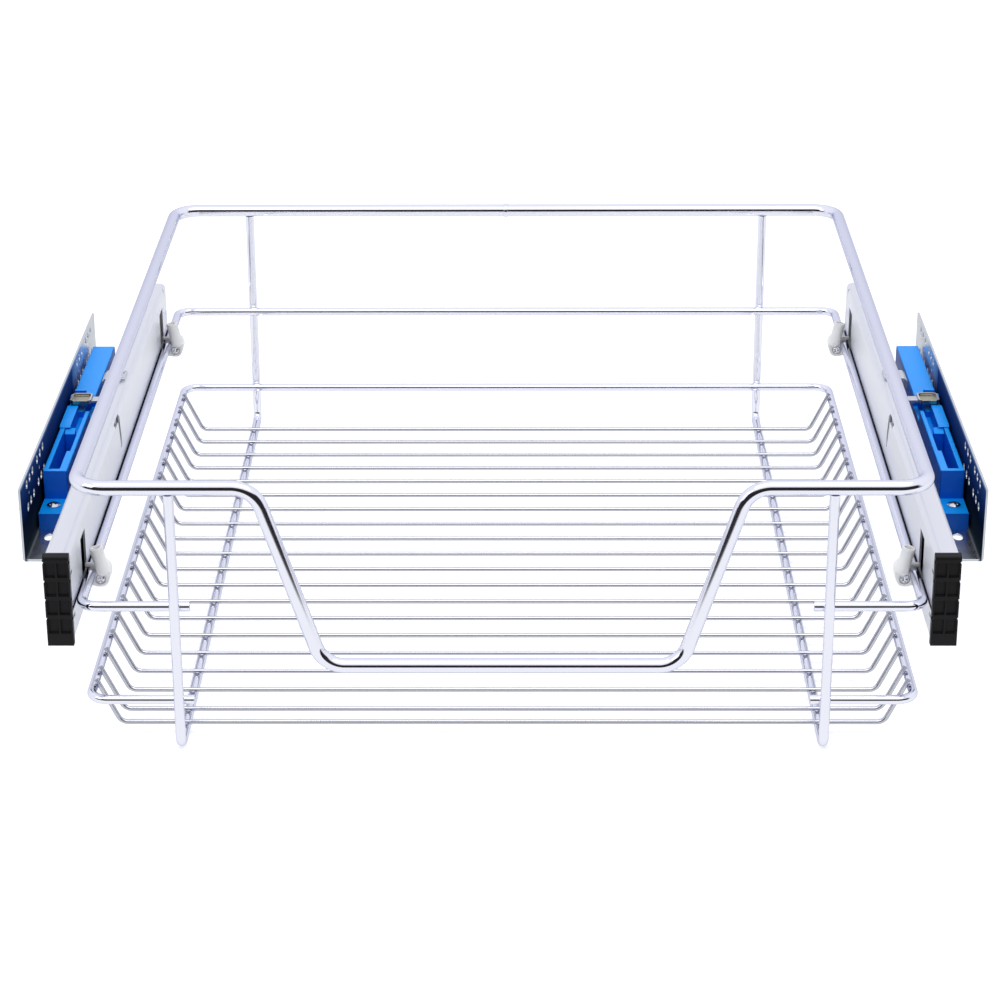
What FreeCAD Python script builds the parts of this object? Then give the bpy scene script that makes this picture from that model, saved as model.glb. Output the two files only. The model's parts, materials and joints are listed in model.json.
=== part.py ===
import FreeCAD, Part
import math
import os

# Pull-out kitchen basket on ball-bearing runners with soft-close units.
# Millimetres. X runs across the cabinet, -Y is the way the basket pulls out, Z is up.
# The origin is on the floor under the middle of the basket.

# Cabinet and basket
cabinet_width = 468.0        # clear width between the cabinet's two sides
basket_depth = 417.0         # between the centres of the front and back top wires
top_wire = 7.0               # diameters of the wires
side_wire = 4.8
rim_wire = 4.5
cross_wire = 2.3
weld_sink = 0.25             # how far a resistance weld sets one wire into the next
top_height = 133.6           # heights of wire centres above the floor
rim_height = 24.2
middle_drop = 6.4            # middle wire below the runner's centre
top_step_in = 1.1            # the top wire stands this much further in than the middle wire
rim_step_in = 1.6            # and so does the rim
top_corner = 14.0            # centre-line bend radii
middle_corner = 7.5
rim_corner = 8.5
leg_bend = 5.5
cross_bend = 5.0
leg_inset = 42.9             # from the top wire's side run to the legs
wire_end_overhang = 6.7      # how far the open wires run past the legs
floor_inset = 12.3           # from the rim's side run to where the cross wires turn up
cross_pitch = 20.0
cross_back_margin = 26.3     # back top wire to the last cross wire
cross_front_margin = 17.3    # front top wire to the extra first cross wire
hook_overhang = 2.8          # cross wire past its weld on the rim
butt_weld = 7.7              # bead where the top wire closes, ground flush at the back
butt_weld_length = 2.4

# Round bars and small bends are drawn with flats, so that the many wires stay light
wire_flat_count = 12         # a multiple of four keeps flats at the top, bottom and sides
thin_flat_count = 8
hole_flat_count = 6
bend_angle = 22.5            # degrees turned by each flat of a bend
thin_bend_angle = 30.0
edge_angle = 90.0

# Handle dip in the front of the top wire
dip_top_half = 111.9
dip_bottom_half = 82.8
dip_bottom_height = 44.2
dip_bend = 14.0

# Ball-bearing runners
runner_length = 380.0
runner_height = 45.0
runner_thickness = 13.3      # basket side of the channel to cabinet side of the fixed member
channel_depth = 11.5
channel_sheet = 1.2
member_sheet = 1.0
member_setback = 9.0         # inner members start this far behind the channel's front end
mid_lip_stand_out = 0.6      # the middle member reaches this much further out than the channel
rail_height = 78.8           # runner's centre above the floor
ball = 3.5
ball_clearance = 0.05
pocket_clearance = 0.12
raceway_lip = 1.2            # how far a lip runs past the ball's centre
cage_sheet = 0.6
cage_gap = 0.4
lip_gap = 0.3
cage_length = 150.0
cage_centre = 194.0          # from the channel's front end
ball_rows = 4
ball_pitch = 36.0
member_bend = 1.0

# Cut-outs in the channel's web, measured from its front end and its centre height
window_width = 14.0
window_height = 21.0
window_rise = 3.5
front_window = 41.0
back_window = 354.5
notch_length = 5.0
notch_height = 2.0
notch_start = 2.2
notch_rise = 11.0
lance_gap = 4.5              # length of the opening behind the lanced tab
lance_bar = 2.8              # height of the opening over it
lance_top = 21.5
lance_height = 19.8
lance_lean = 6.5
lance_tab = 11.0
lance_place = 171.0
rear_slit_place = 371.0
rear_slit_length = 1.4

# End caps
cap_plate = 3.5
cap_margin = 0.3
cap_rib = 0.9
cap_rows = 4
cap_row_pitch = 9.4
cap_ridge = 2.0
cap_lip = 3.8                # plain lip above the first row of recesses
cap_lip_round = 2.4
cap_recess = 1.3
cap_notch = 0.6
cap_tongue = 6.0
cap_tongue_sheet = 0.9

# Clips that hang the middle wire on the channel
wire_gap = 0.4               # channel to the middle wire
clip_rise = 14.4             # these sizes start from the wire's centre
clip_drop = 9.9
clip_back = 0.6              # hook's side towards the channel
clip_tip = 5.2               # hook's tip, shoulder, belly, chin and foot on the basket's side
clip_shoulder = 8.2
clip_shoulder_rise = 8.0
clip_belly = 10.0
clip_belly_drop = 0.6
clip_chin = 8.4
clip_chin_drop = 5.8
clip_foot = 4.4
clip_edge = 0.6
clip_round = 2.0
clip_length = 12.0
clip_hook_length = 7.0       # the hook over the wire is only this long
clip_block_rise = 3.6        # and the block behind it is only this high
clip_before_window = 3.0     # clip's front before the middle of the window
clip_fit = 0.05
clip_tongue = 2.7            # height of the tongue over the wire, which reaches into the window
clip_tongue_setback = 2.0
clip_mouth = 3.2             # open mouth under the screw's head
clip_mouth_drop = 5.2
clip_mouth_depth = 4.0
clip_screw_drop = 3.9
clip_screw_offset = 4.1
clip_screw = 3.0
clip_screw_head = 4.6
clip_screw_head_height = 1.8
clip_screw_room = 0.3
clip_screw_seat = 5.3        # behind the clip's front

# Brackets that screw to the cabinet's sides
bracket_sheet = 1.2
bracket_front = 80.0         # from the channel's front end
bracket_length = 256.0
bracket_width = 23.3
bracket_drop = 18.2          # underside of the bracket below the runner's centre
bracket_wall_height = 38.0
bracket_back_height = 25.4
bracket_bend = 1.0
screw_hole = 4.5
pilot_hole = 2.0
hole_pitch = 8.8
hole_row_pitch = 12.0
hole_row_top = 4.7           # upper row below the bracket's top edge
cluster_pitch = 32.0
cluster_margin = 27.0
cluster_holes = 3
oval_length = 8.0
oval_width = 5.0
oval_place = 27.0            # from the bracket's front edge
rivet = 4.0
rivet_head = 7.0
rivet_head_height = 1.1
rivet_places = (28.0, 128.0, 228.0)

# Soft-close units
unit_front = 115.0           # from the channel's front end
foot_length = 19.0
foot_height = 9.0
rear_foot_length = 13.0
unit_length = 201.0          # front foot to the back of the body
unit_width = 12.2
unit_wall_gap = 1.5          # unit to the bracket's tall wall
unit_height = 24.2
unit_edge = 0.8
track_width = 5.6
track_offset = 0.6           # track, damper and spring stand this much further out than the housing
track_front_wall = 3.0
track_floor = 4.4
track_length = 101.0
track_gate_width = 1.8       # the track is this much wider towards the basket behind its front part
track_gate_start = 26.5
track_gate_depth = 8.0
strap_gate_length = 22.0     # where the housing's inner wall is cut down for the strap
strap_gate_depth = 6.0
cover_sheet = 1.6
bulkhead = 3.0
pocket_width = 7.4
pocket_floor = 4.4
rear_wall = 3.0
foot_screw = 3.5
foot_screw_head = 7.0
foot_screw_head_height = 2.0
foot_screw_tip = 1.2
foot_screw_inset = 10.0
rear_screw_inset = 6.5

# Claw, damper and spring
claw_clearance = 0.2
claw_lift = 0.3
claw_block_length = 31.8
claw_neck_length = 13.0
claw_horn_length = 4.0
claw_ramp = 4.0
claw_nose_drop = 2.2
claw_neck_drop = 2.6
claw_head_length = 29.0
claw_head_width = 5.6
claw_recess_drop = 6.0
horn_proud = 1.3
horn_overhang = 0.6
rod = 2.0
rod_clearance = 0.05
piston_clearance = 0.05
cylinder = 6.4
cylinder_wall = 0.8
cylinder_end = 3.0
cylinder_length = 64.0
piston_length = 5.0
piston_rest_gap = 2.0        # piston to the cylinder's closed end when the basket is shut
damper_drop = 5.4            # damper axis below the top of the unit
spring = 4.6
spring_length = 60.0
spring_floor_gap = 0.3

# Strap on the channel that works the claw
strap_sheet = 1.2
strap_length = 12.0
strap_tray = 11.3            # the tray over the unit, with a raised rim all round
strap_tray_corner = 1.8
strap_rim = 1.0
strap_rim_sheet = 1.1
strap_arm_length = 6.0
strap_clearance = 0.3
strap_foot = 8.5
strap_leg_gap = 0.8
strap_shoulder = 4.0         # full width kept below the channel's top
strap_rivet_inset = 1.7      # rivets' centres from the strap's front and back edges
strap_rivet = 2.4
strap_rivet_head = 4.2
strap_rivet_head_height = 0.7

# Places that follow from the sizes above
half_depth = basket_depth / 2
channel_front = -half_depth
wall_x = cabinet_width / 2
member_back_x = wall_x - bracket_width
channel_x = member_back_x - runner_thickness
middle_wire_x = channel_x - wire_gap - side_wire / 2
top_wire_x = middle_wire_x - top_step_in
rim_x = middle_wire_x - rim_step_in
middle_height = rail_height - middle_drop
leg_half_spacing = top_wire_x - leg_inset
floor_half_width = rim_x - floor_inset
cross_count = 1 + int((basket_depth - cross_front_margin - cross_back_margin) / cross_pitch)
leg_height = side_wire / 2
cross_height = side_wire + cross_wire / 2 - weld_sink
middle_inset = side_wire - weld_sink
rim_inset = (side_wire + rim_wire) / 2 - weld_sink
leg_top = top_height - top_wire / 2 + weld_sink
open_end_x = leg_half_spacing - wire_end_overhang

ball_reach = ball / 2 + ball_clearance
outer_ball_u = channel_depth - channel_sheet - ball_reach
outer_ball_v = runner_height / 2 - channel_sheet - ball_reach
mid_web = channel_sheet + cage_sheet + 2 * cage_gap
mid_depth = channel_depth + mid_lip_stand_out
mid_half = outer_ball_v - ball_reach
inner_ball_u = mid_depth - member_sheet - ball_reach
inner_ball_v = mid_half - member_sheet - ball_reach
fixed_half = inner_ball_v - ball_reach
inner_cage_web = mid_web + member_sheet + cage_gap
fixed_flange_end = inner_cage_web + cage_sheet + cage_gap

bracket_floor = rail_height - bracket_drop
bracket_front_y = channel_front + bracket_front
bracket_wall_top = bracket_floor + bracket_wall_height
floor_top = bracket_floor + bracket_sheet
unit_front_y = channel_front + unit_front
body_front_y = unit_front_y + foot_length
unit_back_y = unit_front_y + unit_length
unit_top = floor_top + unit_height
unit_x = wall_x - bracket_sheet - unit_wall_gap - unit_width / 2
track_x = unit_x + track_offset
track_front_y = body_front_y + track_front_wall
track_back_y = track_front_y + track_length
pocket_front_y = track_back_y + bulkhead
pocket_back_y = unit_back_y - rear_wall
track_floor_z = floor_top + track_floor
damper_z = unit_top - damper_drop
spring_z = floor_top + pocket_floor + spring_floor_gap + spring / 2
cylinder_back_y = pocket_back_y - lip_gap
cylinder_front_y = cylinder_back_y - cylinder_length
claw_back_y = track_back_y - claw_clearance
claw_front_y = claw_back_y - claw_horn_length - claw_neck_length - claw_block_length
horn_top = unit_top + horn_proud
strap_z = horn_top + strap_clearance
strap_y = claw_back_y - claw_horn_length - claw_neck_length / 2

vec = FreeCAD.Vector


# Shared shapes


def rounded_path(points, radii, closed=False, angle=None):
    """Straight runs joined by tangent arcs, or by flats that each turn about so many degrees."""
    corners = len(points) if closed else len(points) - 2
    edges = []
    first = None
    last = None if closed else points[0]
    for index in range(corners):
        place = index if closed else index + 1
        corner = points[place]
        back = (points[place - 1] - corner).normalize()
        ahead = (points[(place + 1) % len(points)] - corner).normalize()
        turn = math.pi - back.getAngle(ahead)
        reach = radii[index] * math.tan(turn / 2)
        start = corner + back * reach
        end = corner + ahead * reach
        bisector = (back + ahead).normalize()
        middle = corner + bisector * (radii[index] / math.cos(turn / 2) - radii[index])
        if last is None:
            first = start
        else:
            edges.append(Part.LineSegment(last, start).toShape())
        arc = Part.Arc(start, middle, end).toShape()
        stops = arc.discretize(1 + max(1, round(math.degrees(turn) / angle))) if angle else []
        edges += [Part.LineSegment(*pair).toShape() for pair in zip(stops, stops[1:])] or [arc]
        last = end
    edges.append(Part.LineSegment(last, first if closed else points[-1]).toShape())
    return Part.Wire(edges)


def flat_ring(centre, along, diameter, flats):
    """Outline of a bar drawn with flats, which lie at the bar's true radius."""
    upright = abs(along.z) > abs(along.x) + abs(along.y)
    across = along.cross(vec(0, 1, 0) if upright or abs(along.y) < abs(along.x) else vec(0, 0, 1)).normalize()
    rise = across.cross(along).normalize()
    radius = diameter / 2 / math.cos(math.pi / flats)
    corners = []
    for index in range(flats):
        angle = (2 * index + 1) * math.pi / flats
        corners.append(centre + across * (radius * math.cos(angle)) + rise * (radius * math.sin(angle)))
    return Part.makePolygon(corners + corners[:1])


def wire_along(points, radii, diameter, flats=wire_flat_count, angle=bend_angle):
    """A wire swept along straight runs and bends."""
    path = rounded_path(points, radii, angle=angle)
    ring = flat_ring(points[0], points[1] - points[0], diameter, flats)
    return path.makePipeShell([ring], True, False, 1)


def xz_face(outline, radii):
    """A face in the XZ plane from its corners, each taken back by its own rounding."""
    return Part.Face(rounded_path([vec(x, 0, z) for x, z in outline], radii, closed=True, angle=edge_angle / 2))


def along_y(face, start, length):
    """Extrude a face that lies at y = 0 so that it runs from start along +Y."""
    solid = face.extrude(vec(0, length, 0))
    solid.translate(vec(0, start, 0))
    return solid


def sheet_section(points, bend, sheet, angle=edge_angle):
    """Section of bent sheet: the centre line's corners, inner bend radius and thickness."""
    line = [vec(x, 0, z) for x, z in points]
    sides = []
    for side in (1, -1):
        offset = []
        for index, point in enumerate(line):
            before = (point - line[index - 1]).normalize() if index else None
            after = (line[index + 1] - point).normalize() if index < len(line) - 1 else None
            normals = [vec(-run.z, 0, run.x) for run in (before, after) if run is not None]
            normal = sum(normals[1:], normals[0]).normalize()
            reach = sheet / 2 / normal.dot(normals[0])
            offset.append(point + normal * reach * side)
        radii = []
        for index in range(1, len(line) - 1):
            before = line[index] - line[index - 1]
            after = line[index + 1] - line[index]
            turns_left = before.x * after.z - before.z * after.x > 0
            radii.append(bend if turns_left == (side > 0) else bend + sheet)
        sides.append(rounded_path(offset, radii, angle=angle))
    first, second = sides
    ends = []
    for vertex in (0, -1):
        ends.append(Part.LineSegment(first.OrderedVertexes[vertex].Point,
                                     second.OrderedVertexes[vertex].Point).toShape())
    return Part.Face(Part.Wire(Part.__sortEdges__(first.Edges + second.Edges + ends)))


def box_between(x0, x1, y0, y1, z0, z1):
    return Part.makeBox(x1 - x0, y1 - y0, z1 - z0, vec(x0, y0, z0))


def round_bar(diameter, start, end):
    run = end - start
    return Part.makeCylinder(diameter / 2, run.Length, start, run)


def flat_bar(diameter, start, end, flats=thin_flat_count):
    """A bar, shank or hole drawn with flats."""
    return Part.Face(flat_ring(start, end - start, diameter, flats)).extrude(end - start)


def mirrored(shape):
    return shape.mirror(vec(0, 0, 0), vec(1, 0, 0))


def both_sides(shape):
    return Part.makeCompound([shape, mirrored(shape)])


# The basket's wires


def top_loop():
    """Closed top wire with the handle dip at the front, butt-welded at the middle of the back."""
    high = top_height
    points = [vec(0, half_depth, high), vec(-top_wire_x, half_depth, high), vec(-top_wire_x, -half_depth, high),
              vec(-dip_top_half, -half_depth, high), vec(-dip_bottom_half, -half_depth, dip_bottom_height),
              vec(0, -half_depth, dip_bottom_height)]
    half = wire_along(points, [top_corner, top_corner, dip_bend, dip_bend], top_wire)
    bead_y = half_depth - (butt_weld - top_wire) / 2
    bead = flat_bar(butt_weld, vec(-butt_weld_length / 2, bead_y, high), vec(butt_weld_length / 2, bead_y, high),
                    wire_flat_count)
    return half.fuse([mirrored(half), bead]).removeSplitter()


def open_loop(half_width, inset, height, corner, diameter):
    """Wire round the back and sides that ends just past the front legs."""
    front = -half_depth + inset
    back = half_depth - inset
    points = [vec(-open_end_x, front, height), vec(-half_width, front, height), vec(-half_width, back, height),
              vec(half_width, back, height), vec(half_width, front, height), vec(open_end_x, front, height)]
    return wire_along(points, [corner] * 4, diameter)


def leg_wire():
    """One leg: down from the top wire, under the floor and up to the top wire at the back."""
    x = leg_half_spacing
    points = [vec(x, -half_depth, leg_top), vec(x, -half_depth, leg_height),
              vec(x, half_depth, leg_height), vec(x, half_depth, leg_top)]
    return wire_along(points, [leg_bend] * 2, side_wire)


def cross_wire_end():
    """Where a cross wire ends, from its corner up past the inside of the rim."""
    run = vec(rim_x - floor_half_width, 0, rim_height - cross_height)
    stand_off = (rim_wire + cross_wire) / 2 - weld_sink
    steeper = math.asin(stand_off / run.Length)
    angle = math.atan2(run.z, run.x) + steeper
    length = run.Length * math.cos(steeper) + hook_overhang
    return floor_half_width + length * math.cos(angle), cross_height + length * math.sin(angle)


def floor_wires():
    """Cross wires that make the floor and turn up to the rim at both ends."""
    end_x, end_z = cross_wire_end()
    places = [half_depth - cross_back_margin - cross_pitch * index for index in range(cross_count)]
    places.append(-half_depth + cross_front_margin)
    wires = []
    for y in places:
        points = [vec(-end_x, y, end_z), vec(-floor_half_width, y, cross_height),
                  vec(floor_half_width, y, cross_height), vec(end_x, y, end_z)]
        wires.append(wire_along(points, [cross_bend] * 2, cross_wire, thin_flat_count, thin_bend_angle))
    return Part.makeCompound(wires)


# Runners, drawn for the right side of the cabinet


def runner_place(u, v):
    """From the runner's own section, u outwards and v up, to X and Z."""
    return channel_x + u, rail_height + v


def runner_section(corners, bend, sheet, angle=bend_angle):
    return sheet_section([runner_place(u, v) for u, v in corners], bend, sheet, angle)


def channel_cutouts():
    """Windows, snap notches, the lanced tab and the slit in the channel's web."""
    x0 = channel_x - 1
    x1 = channel_x + channel_sheet + cage_gap / 2
    tools = []
    for place in (front_window, back_window):
        y = channel_front + place
        z = rail_height + window_rise
        tools.append(box_between(x0, x1, y - window_width / 2, y + window_width / 2,
                                 z - window_height / 2, z + window_height / 2))
    y = channel_front + notch_start
    for rise in (notch_rise, -notch_rise):
        z = rail_height + rise
        tools.append(box_between(x0, x1, y, y + notch_length, z - notch_height / 2, z + notch_height / 2))
    y = channel_front + lance_place
    z = rail_height + lance_top
    slit = [(y - lance_tab, z), (y - lance_tab, z - lance_bar), (y, z - lance_bar),
            (y + lance_lean, z - lance_height), (y + lance_lean + lance_gap, z - lance_height),
            (y + lance_gap, z)]
    outline = [vec(x0, place, height) for place, height in slit]
    tools.append(Part.Face(Part.makePolygon(outline + [outline[0]])).extrude(vec(x1 - x0, 0, 0)))
    y = channel_front + rear_slit_place
    tools.append(box_between(x0, x1, y, y + rear_slit_length, z - notch_length, z))
    return tools


def channel():
    """Outer runner member: a C channel whose closed side faces the basket."""
    edge = runner_height / 2 - channel_sheet / 2
    mouth = channel_depth - channel_sheet / 2
    lip = outer_ball_v - raceway_lip
    corners = [(mouth, -lip), (mouth, -edge), (channel_sheet / 2, -edge), (channel_sheet / 2, edge),
               (mouth, edge), (mouth, lip)]
    section = runner_section(corners, ball_reach, channel_sheet)
    solid = along_y(section, channel_front, runner_length)
    return solid.cut(channel_cutouts())


def mid_member():
    """Middle runner member, which rolls inside the channel and round the fixed member."""
    edge = mid_half - member_sheet / 2
    mouth = mid_depth - member_sheet / 2
    lip = inner_ball_v - raceway_lip
    web = mid_web + member_sheet / 2
    corners = [(mouth, -lip), (mouth, -edge), (web, -edge), (web, edge), (mouth, edge), (mouth, lip)]
    section = runner_section(corners, ball_reach, member_sheet)
    return along_y(section, channel_front + member_setback, runner_length - member_setback)


def fixed_member():
    """Inner runner member, riveted to the bracket, open towards the basket."""
    edge = fixed_half - member_sheet / 2
    web = runner_thickness - member_sheet / 2
    corners = [(fixed_flange_end, -edge), (web, -edge), (web, edge), (fixed_flange_end, edge)]
    section = runner_section(corners, member_bend, member_sheet, edge_angle)
    solid = along_y(section, channel_front + member_setback, runner_length - member_setback)
    return solid.cut([rivet_shank(place) for place in rivet_places])


def ball_places(u, v):
    """Centres of the balls of one cage, above and below."""
    centres = []
    middle = channel_front + cage_centre
    for side in (1, -1):
        x, z = runner_place(u, side * v)
        for index in range(ball_rows):
            y = middle + (index - (ball_rows - 1) / 2) * ball_pitch
            centres.append(vec(x, y, z))
    return centres


def cage(web_start, flange_end, ball_u, ball_v):
    """Thin strip bent into a C, with an open pocket for each ball."""
    web = web_start + cage_sheet / 2
    corners = [(flange_end, -ball_v), (web, -ball_v), (web, ball_v), (flange_end, ball_v)]
    section = runner_section(corners, cage_sheet / 2, cage_sheet, edge_angle)
    strip = along_y(section, channel_front + cage_centre - cage_length / 2, cage_length)
    tools = []
    for centre in ball_places(ball_u, ball_v):
        reach = vec(0, 0, 2 * cage_sheet)
        tools.append(flat_bar(ball + 2 * pocket_clearance, centre - reach, centre + reach))
    return strip.cut(tools)


def outer_cage():
    mouth = channel_depth - channel_sheet - lip_gap
    return cage(channel_sheet + cage_gap, mouth, outer_ball_u, outer_ball_v)


def inner_cage():
    mouth = mid_depth - member_sheet - lip_gap
    return cage(inner_cage_web, mouth, inner_ball_u, inner_ball_v)


def steel_ball(centre):
    """A ball drawn with flats: a cube with its edges cut back until each corner is on the ball's surface."""
    flat_width = ball / math.sqrt(5 + 2 * math.sqrt(2))
    side = flat_width * (1 + math.sqrt(2))
    cube = Part.makeBox(side, side, side, centre - vec(side / 2, side / 2, side / 2))
    return cube.makeChamfer((side - flat_width) / 2, cube.Edges)


def balls(ball_u, ball_v):
    return Part.makeCompound([steel_ball(centre) for centre in ball_places(ball_u, ball_v)])


def end_cap():
    """Black plug over the channel's front end: a round lip over four rows of two square recesses."""
    x0, z0 = runner_place(-cap_margin, -runner_height / 2 - cap_margin)
    width = channel_depth + 2 * cap_margin
    height = runner_height + 2 * cap_margin
    y0 = channel_front - cap_plate
    solid = box_between(x0, x0 + width, y0, channel_front, z0, z0 + height)
    lip = [edge for edge in solid.Edges if edge.BoundBox.ZMin > z0 + height - 1e-6 and edge.BoundBox.YMax < y0 + 1e-6]
    solid = solid.makeFillet(cap_lip_round, lip)
    tools = []
    for index in range(cap_rows):
        high = z0 + height - cap_lip - index * cap_row_pitch
        low = high - cap_row_pitch + cap_ridge
        for column in (0, 1):
            left = x0 + cap_rib + column * (width - cap_rib) / 2
            right = left + (width - 3 * cap_rib) / 2
            tools.append(box_between(left, right, y0, y0 + cap_recess, low, high))
        for edge in (x0, x0 + width):
            tools.append(box_between(edge - cap_notch, edge + cap_notch, y0, channel_front - cap_rib,
                                     high - cap_notch, high + cap_notch))
    solid = solid.cut(tools)
    tongues = []
    u0 = channel_sheet + cap_margin / 6
    for side in (notch_rise, -notch_rise):
        x, z = runner_place(u0, side)
        tongues.append(box_between(x, x + cap_tongue_sheet, channel_front - cap_rib, channel_front + cap_tongue,
                                   z - notch_height, z + notch_height))
    return solid.fuse(tongues).removeSplitter()


# Clips between the middle wire and the channel


def clip_outline():
    """Hook over the wire from the basket's side, as corners and their roundings."""
    x, z = middle_wire_x, middle_height
    back = x + clip_back
    corner = clip_back + 2 * clip_edge
    return ([(back, z - clip_drop), (back, z + clip_rise - corner), (back - corner, z + clip_rise),
             (x - clip_tip, z + clip_rise), (x - clip_shoulder, z + clip_shoulder_rise),
             (x - clip_belly, z - clip_belly_drop), (x - clip_chin, z - clip_chin_drop),
             (x - clip_foot, z - clip_drop)],
            [clip_edge, clip_edge, clip_edge, clip_round, clip_round, clip_round, clip_round, clip_round])


def clip_bodies(window):
    """Moulded clip at a window: the hook and its tongue in front, a block with the screw behind."""
    x, y, z = middle_wire_x, clip_front(window), middle_height
    solid = along_y(xz_face(*clip_outline()), y, clip_length)
    behind = box_between(x - 2 * clip_belly, channel_x, y + clip_hook_length, y + 2 * clip_length,
                         z + clip_block_rise, z + 2 * clip_rise)
    bore = flat_bar(side_wire + 2 * clip_fit, vec(x, y - 1, z), vec(x, y + clip_length + 1, z), wire_flat_count)
    seat = clip_screw_seat_place(window)
    room = flat_bar(clip_screw_head + 2 * clip_screw_room, seat, seat - vec(0, clip_length, 0))
    mouth = box_between(x - clip_mouth, x + 2 * clip_back, y - 1, y + clip_mouth_depth,
                        z - clip_mouth_drop - clip_mouth, z - clip_mouth_drop)
    low = z + side_wire / 2 + clip_fit
    tongue = box_between(x - clip_back, channel_x + channel_sheet, y + clip_tongue_setback, y + clip_hook_length,
                         low, low + clip_tongue)
    return solid.fuse(tongue).cut([behind, bore, room, mouth, clip_screw_shank(window)]).removeSplitter()


def clip_front(window):
    return channel_front + window - clip_before_window


def clip_screw_seat_place(window):
    return vec(middle_wire_x - clip_screw_offset, clip_front(window) + clip_screw_seat,
               middle_height - clip_screw_drop)


def clip_screw_shank(window):
    seat = clip_screw_seat_place(window)
    return flat_bar(clip_screw, seat, vec(seat.x, clip_front(window) + clip_length, seat.z))


def clip_screw_bodies(window):
    seat = clip_screw_seat_place(window)
    head = flat_bar(clip_screw_head, seat, seat - vec(0, clip_screw_head_height, 0))
    return clip_screw_shank(window).fuse(head)


# Brackets, drawn for the right side of the cabinet


def bracket_holes():
    """Cutters for the cabinet screws: the outer four are the mounting holes, the rest are spare."""
    upper = bracket_wall_top - hole_row_top
    lower = upper - hole_row_pitch
    x0 = wall_x - bracket_sheet - 1
    x1 = wall_x + 1
    tools = []
    for edge_y, way in ((bracket_front_y, 1), (bracket_front_y + bracket_length, -1)):
        for cluster in range(2):
            middle = edge_y + way * (cluster_margin + cluster * cluster_pitch)
            for index in range(cluster_holes):
                y = middle + (index - (cluster_holes - 1) / 2) * hole_pitch
                mounting = cluster == 0 and y == middle
                for z in (upper, lower):
                    start = vec(x0, y, z)
                    end = vec(x1, y, z)
                    tools.append(round_bar(screw_hole, start, end) if mounting else
                                 flat_bar(screw_hole, start, end, hole_flat_count))
            y = middle - hole_pitch / 2
            z = (upper + lower) / 2
            tools.append(flat_bar(pilot_hole, vec(x0, y, z), vec(x1, y, z), hole_flat_count))
    return tools


def rivet_shank(place):
    y = bracket_front_y + place
    inside = channel_x + runner_thickness - member_sheet
    return flat_bar(rivet, vec(inside, y, rail_height), vec(member_back_x + bracket_sheet, y, rail_height))


def rivets():
    """Rivets that hold the fixed member on the bracket."""
    solids = []
    inside = member_back_x - member_sheet
    outside = member_back_x + bracket_sheet
    for place in rivet_places:
        y = bracket_front_y + place
        heads = []
        for x, way in ((inside, -1), (outside, 1)):
            heads.append(flat_bar(rivet_head, vec(x, y, rail_height), vec(x + way * rivet_head_height, y, rail_height)))
        solids.append(rivet_shank(place).fuse(heads))
    return Part.makeCompound(solids)


def foot_screw_shank(y):
    foot_top = floor_top + foot_height
    return flat_bar(foot_screw, vec(unit_x, y, foot_top), vec(unit_x, y, bracket_floor - foot_screw_tip))


def foot_screw_places():
    return unit_front_y + foot_screw_inset, unit_back_y + rear_screw_inset


def foot_screws():
    """Screws through the unit's feet into the bracket's floor."""
    solids = []
    for y in foot_screw_places():
        base = vec(unit_x, y, floor_top + foot_height)
        head = flat_bar(foot_screw_head, base, base + vec(0, 0, foot_screw_head_height))
        solids.append(foot_screw_shank(y).fuse(head))
    return Part.makeCompound(solids)


def bracket():
    """Perforated wall against the cabinet, floor under the unit, and back wall for the runner."""
    half = bracket_sheet / 2
    back_x = member_back_x + half
    corners = [(wall_x - half, bracket_wall_top), (wall_x - half, bracket_floor + half),
               (back_x, bracket_floor + half), (back_x, bracket_floor + bracket_back_height)]
    solid = along_y(sheet_section(corners, bracket_bend, bracket_sheet), bracket_front_y, bracket_length)
    tools = bracket_holes()
    tools += [rivet_shank(place) for place in rivet_places]
    tools += [foot_screw_shank(y) for y in foot_screw_places()]
    y = bracket_front_y + oval_place
    run = (oval_length - oval_width) / 2
    ends = [flat_bar(oval_width, vec(unit_x, centre, bracket_floor - 1), vec(unit_x, centre, floor_top + 1))
            for centre in (y - run, y + run)]
    tools.append(ends[0].fuse([ends[1], box_between(unit_x - oval_width / 2, unit_x + oval_width / 2, y - run,
                                                    y + run, bracket_floor - 1, floor_top + 1)]))
    return solid.cut(tools)


# Soft-close units, drawn for the right side of the cabinet


def yz_prism(outline, x0, x1):
    """Extrude an outline given as y and z across the unit."""
    points = [vec(x0, y, z) for y, z in outline]
    return Part.Face(Part.makePolygon(points + [points[0]])).extrude(vec(x1 - x0, 0, 0))


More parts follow.
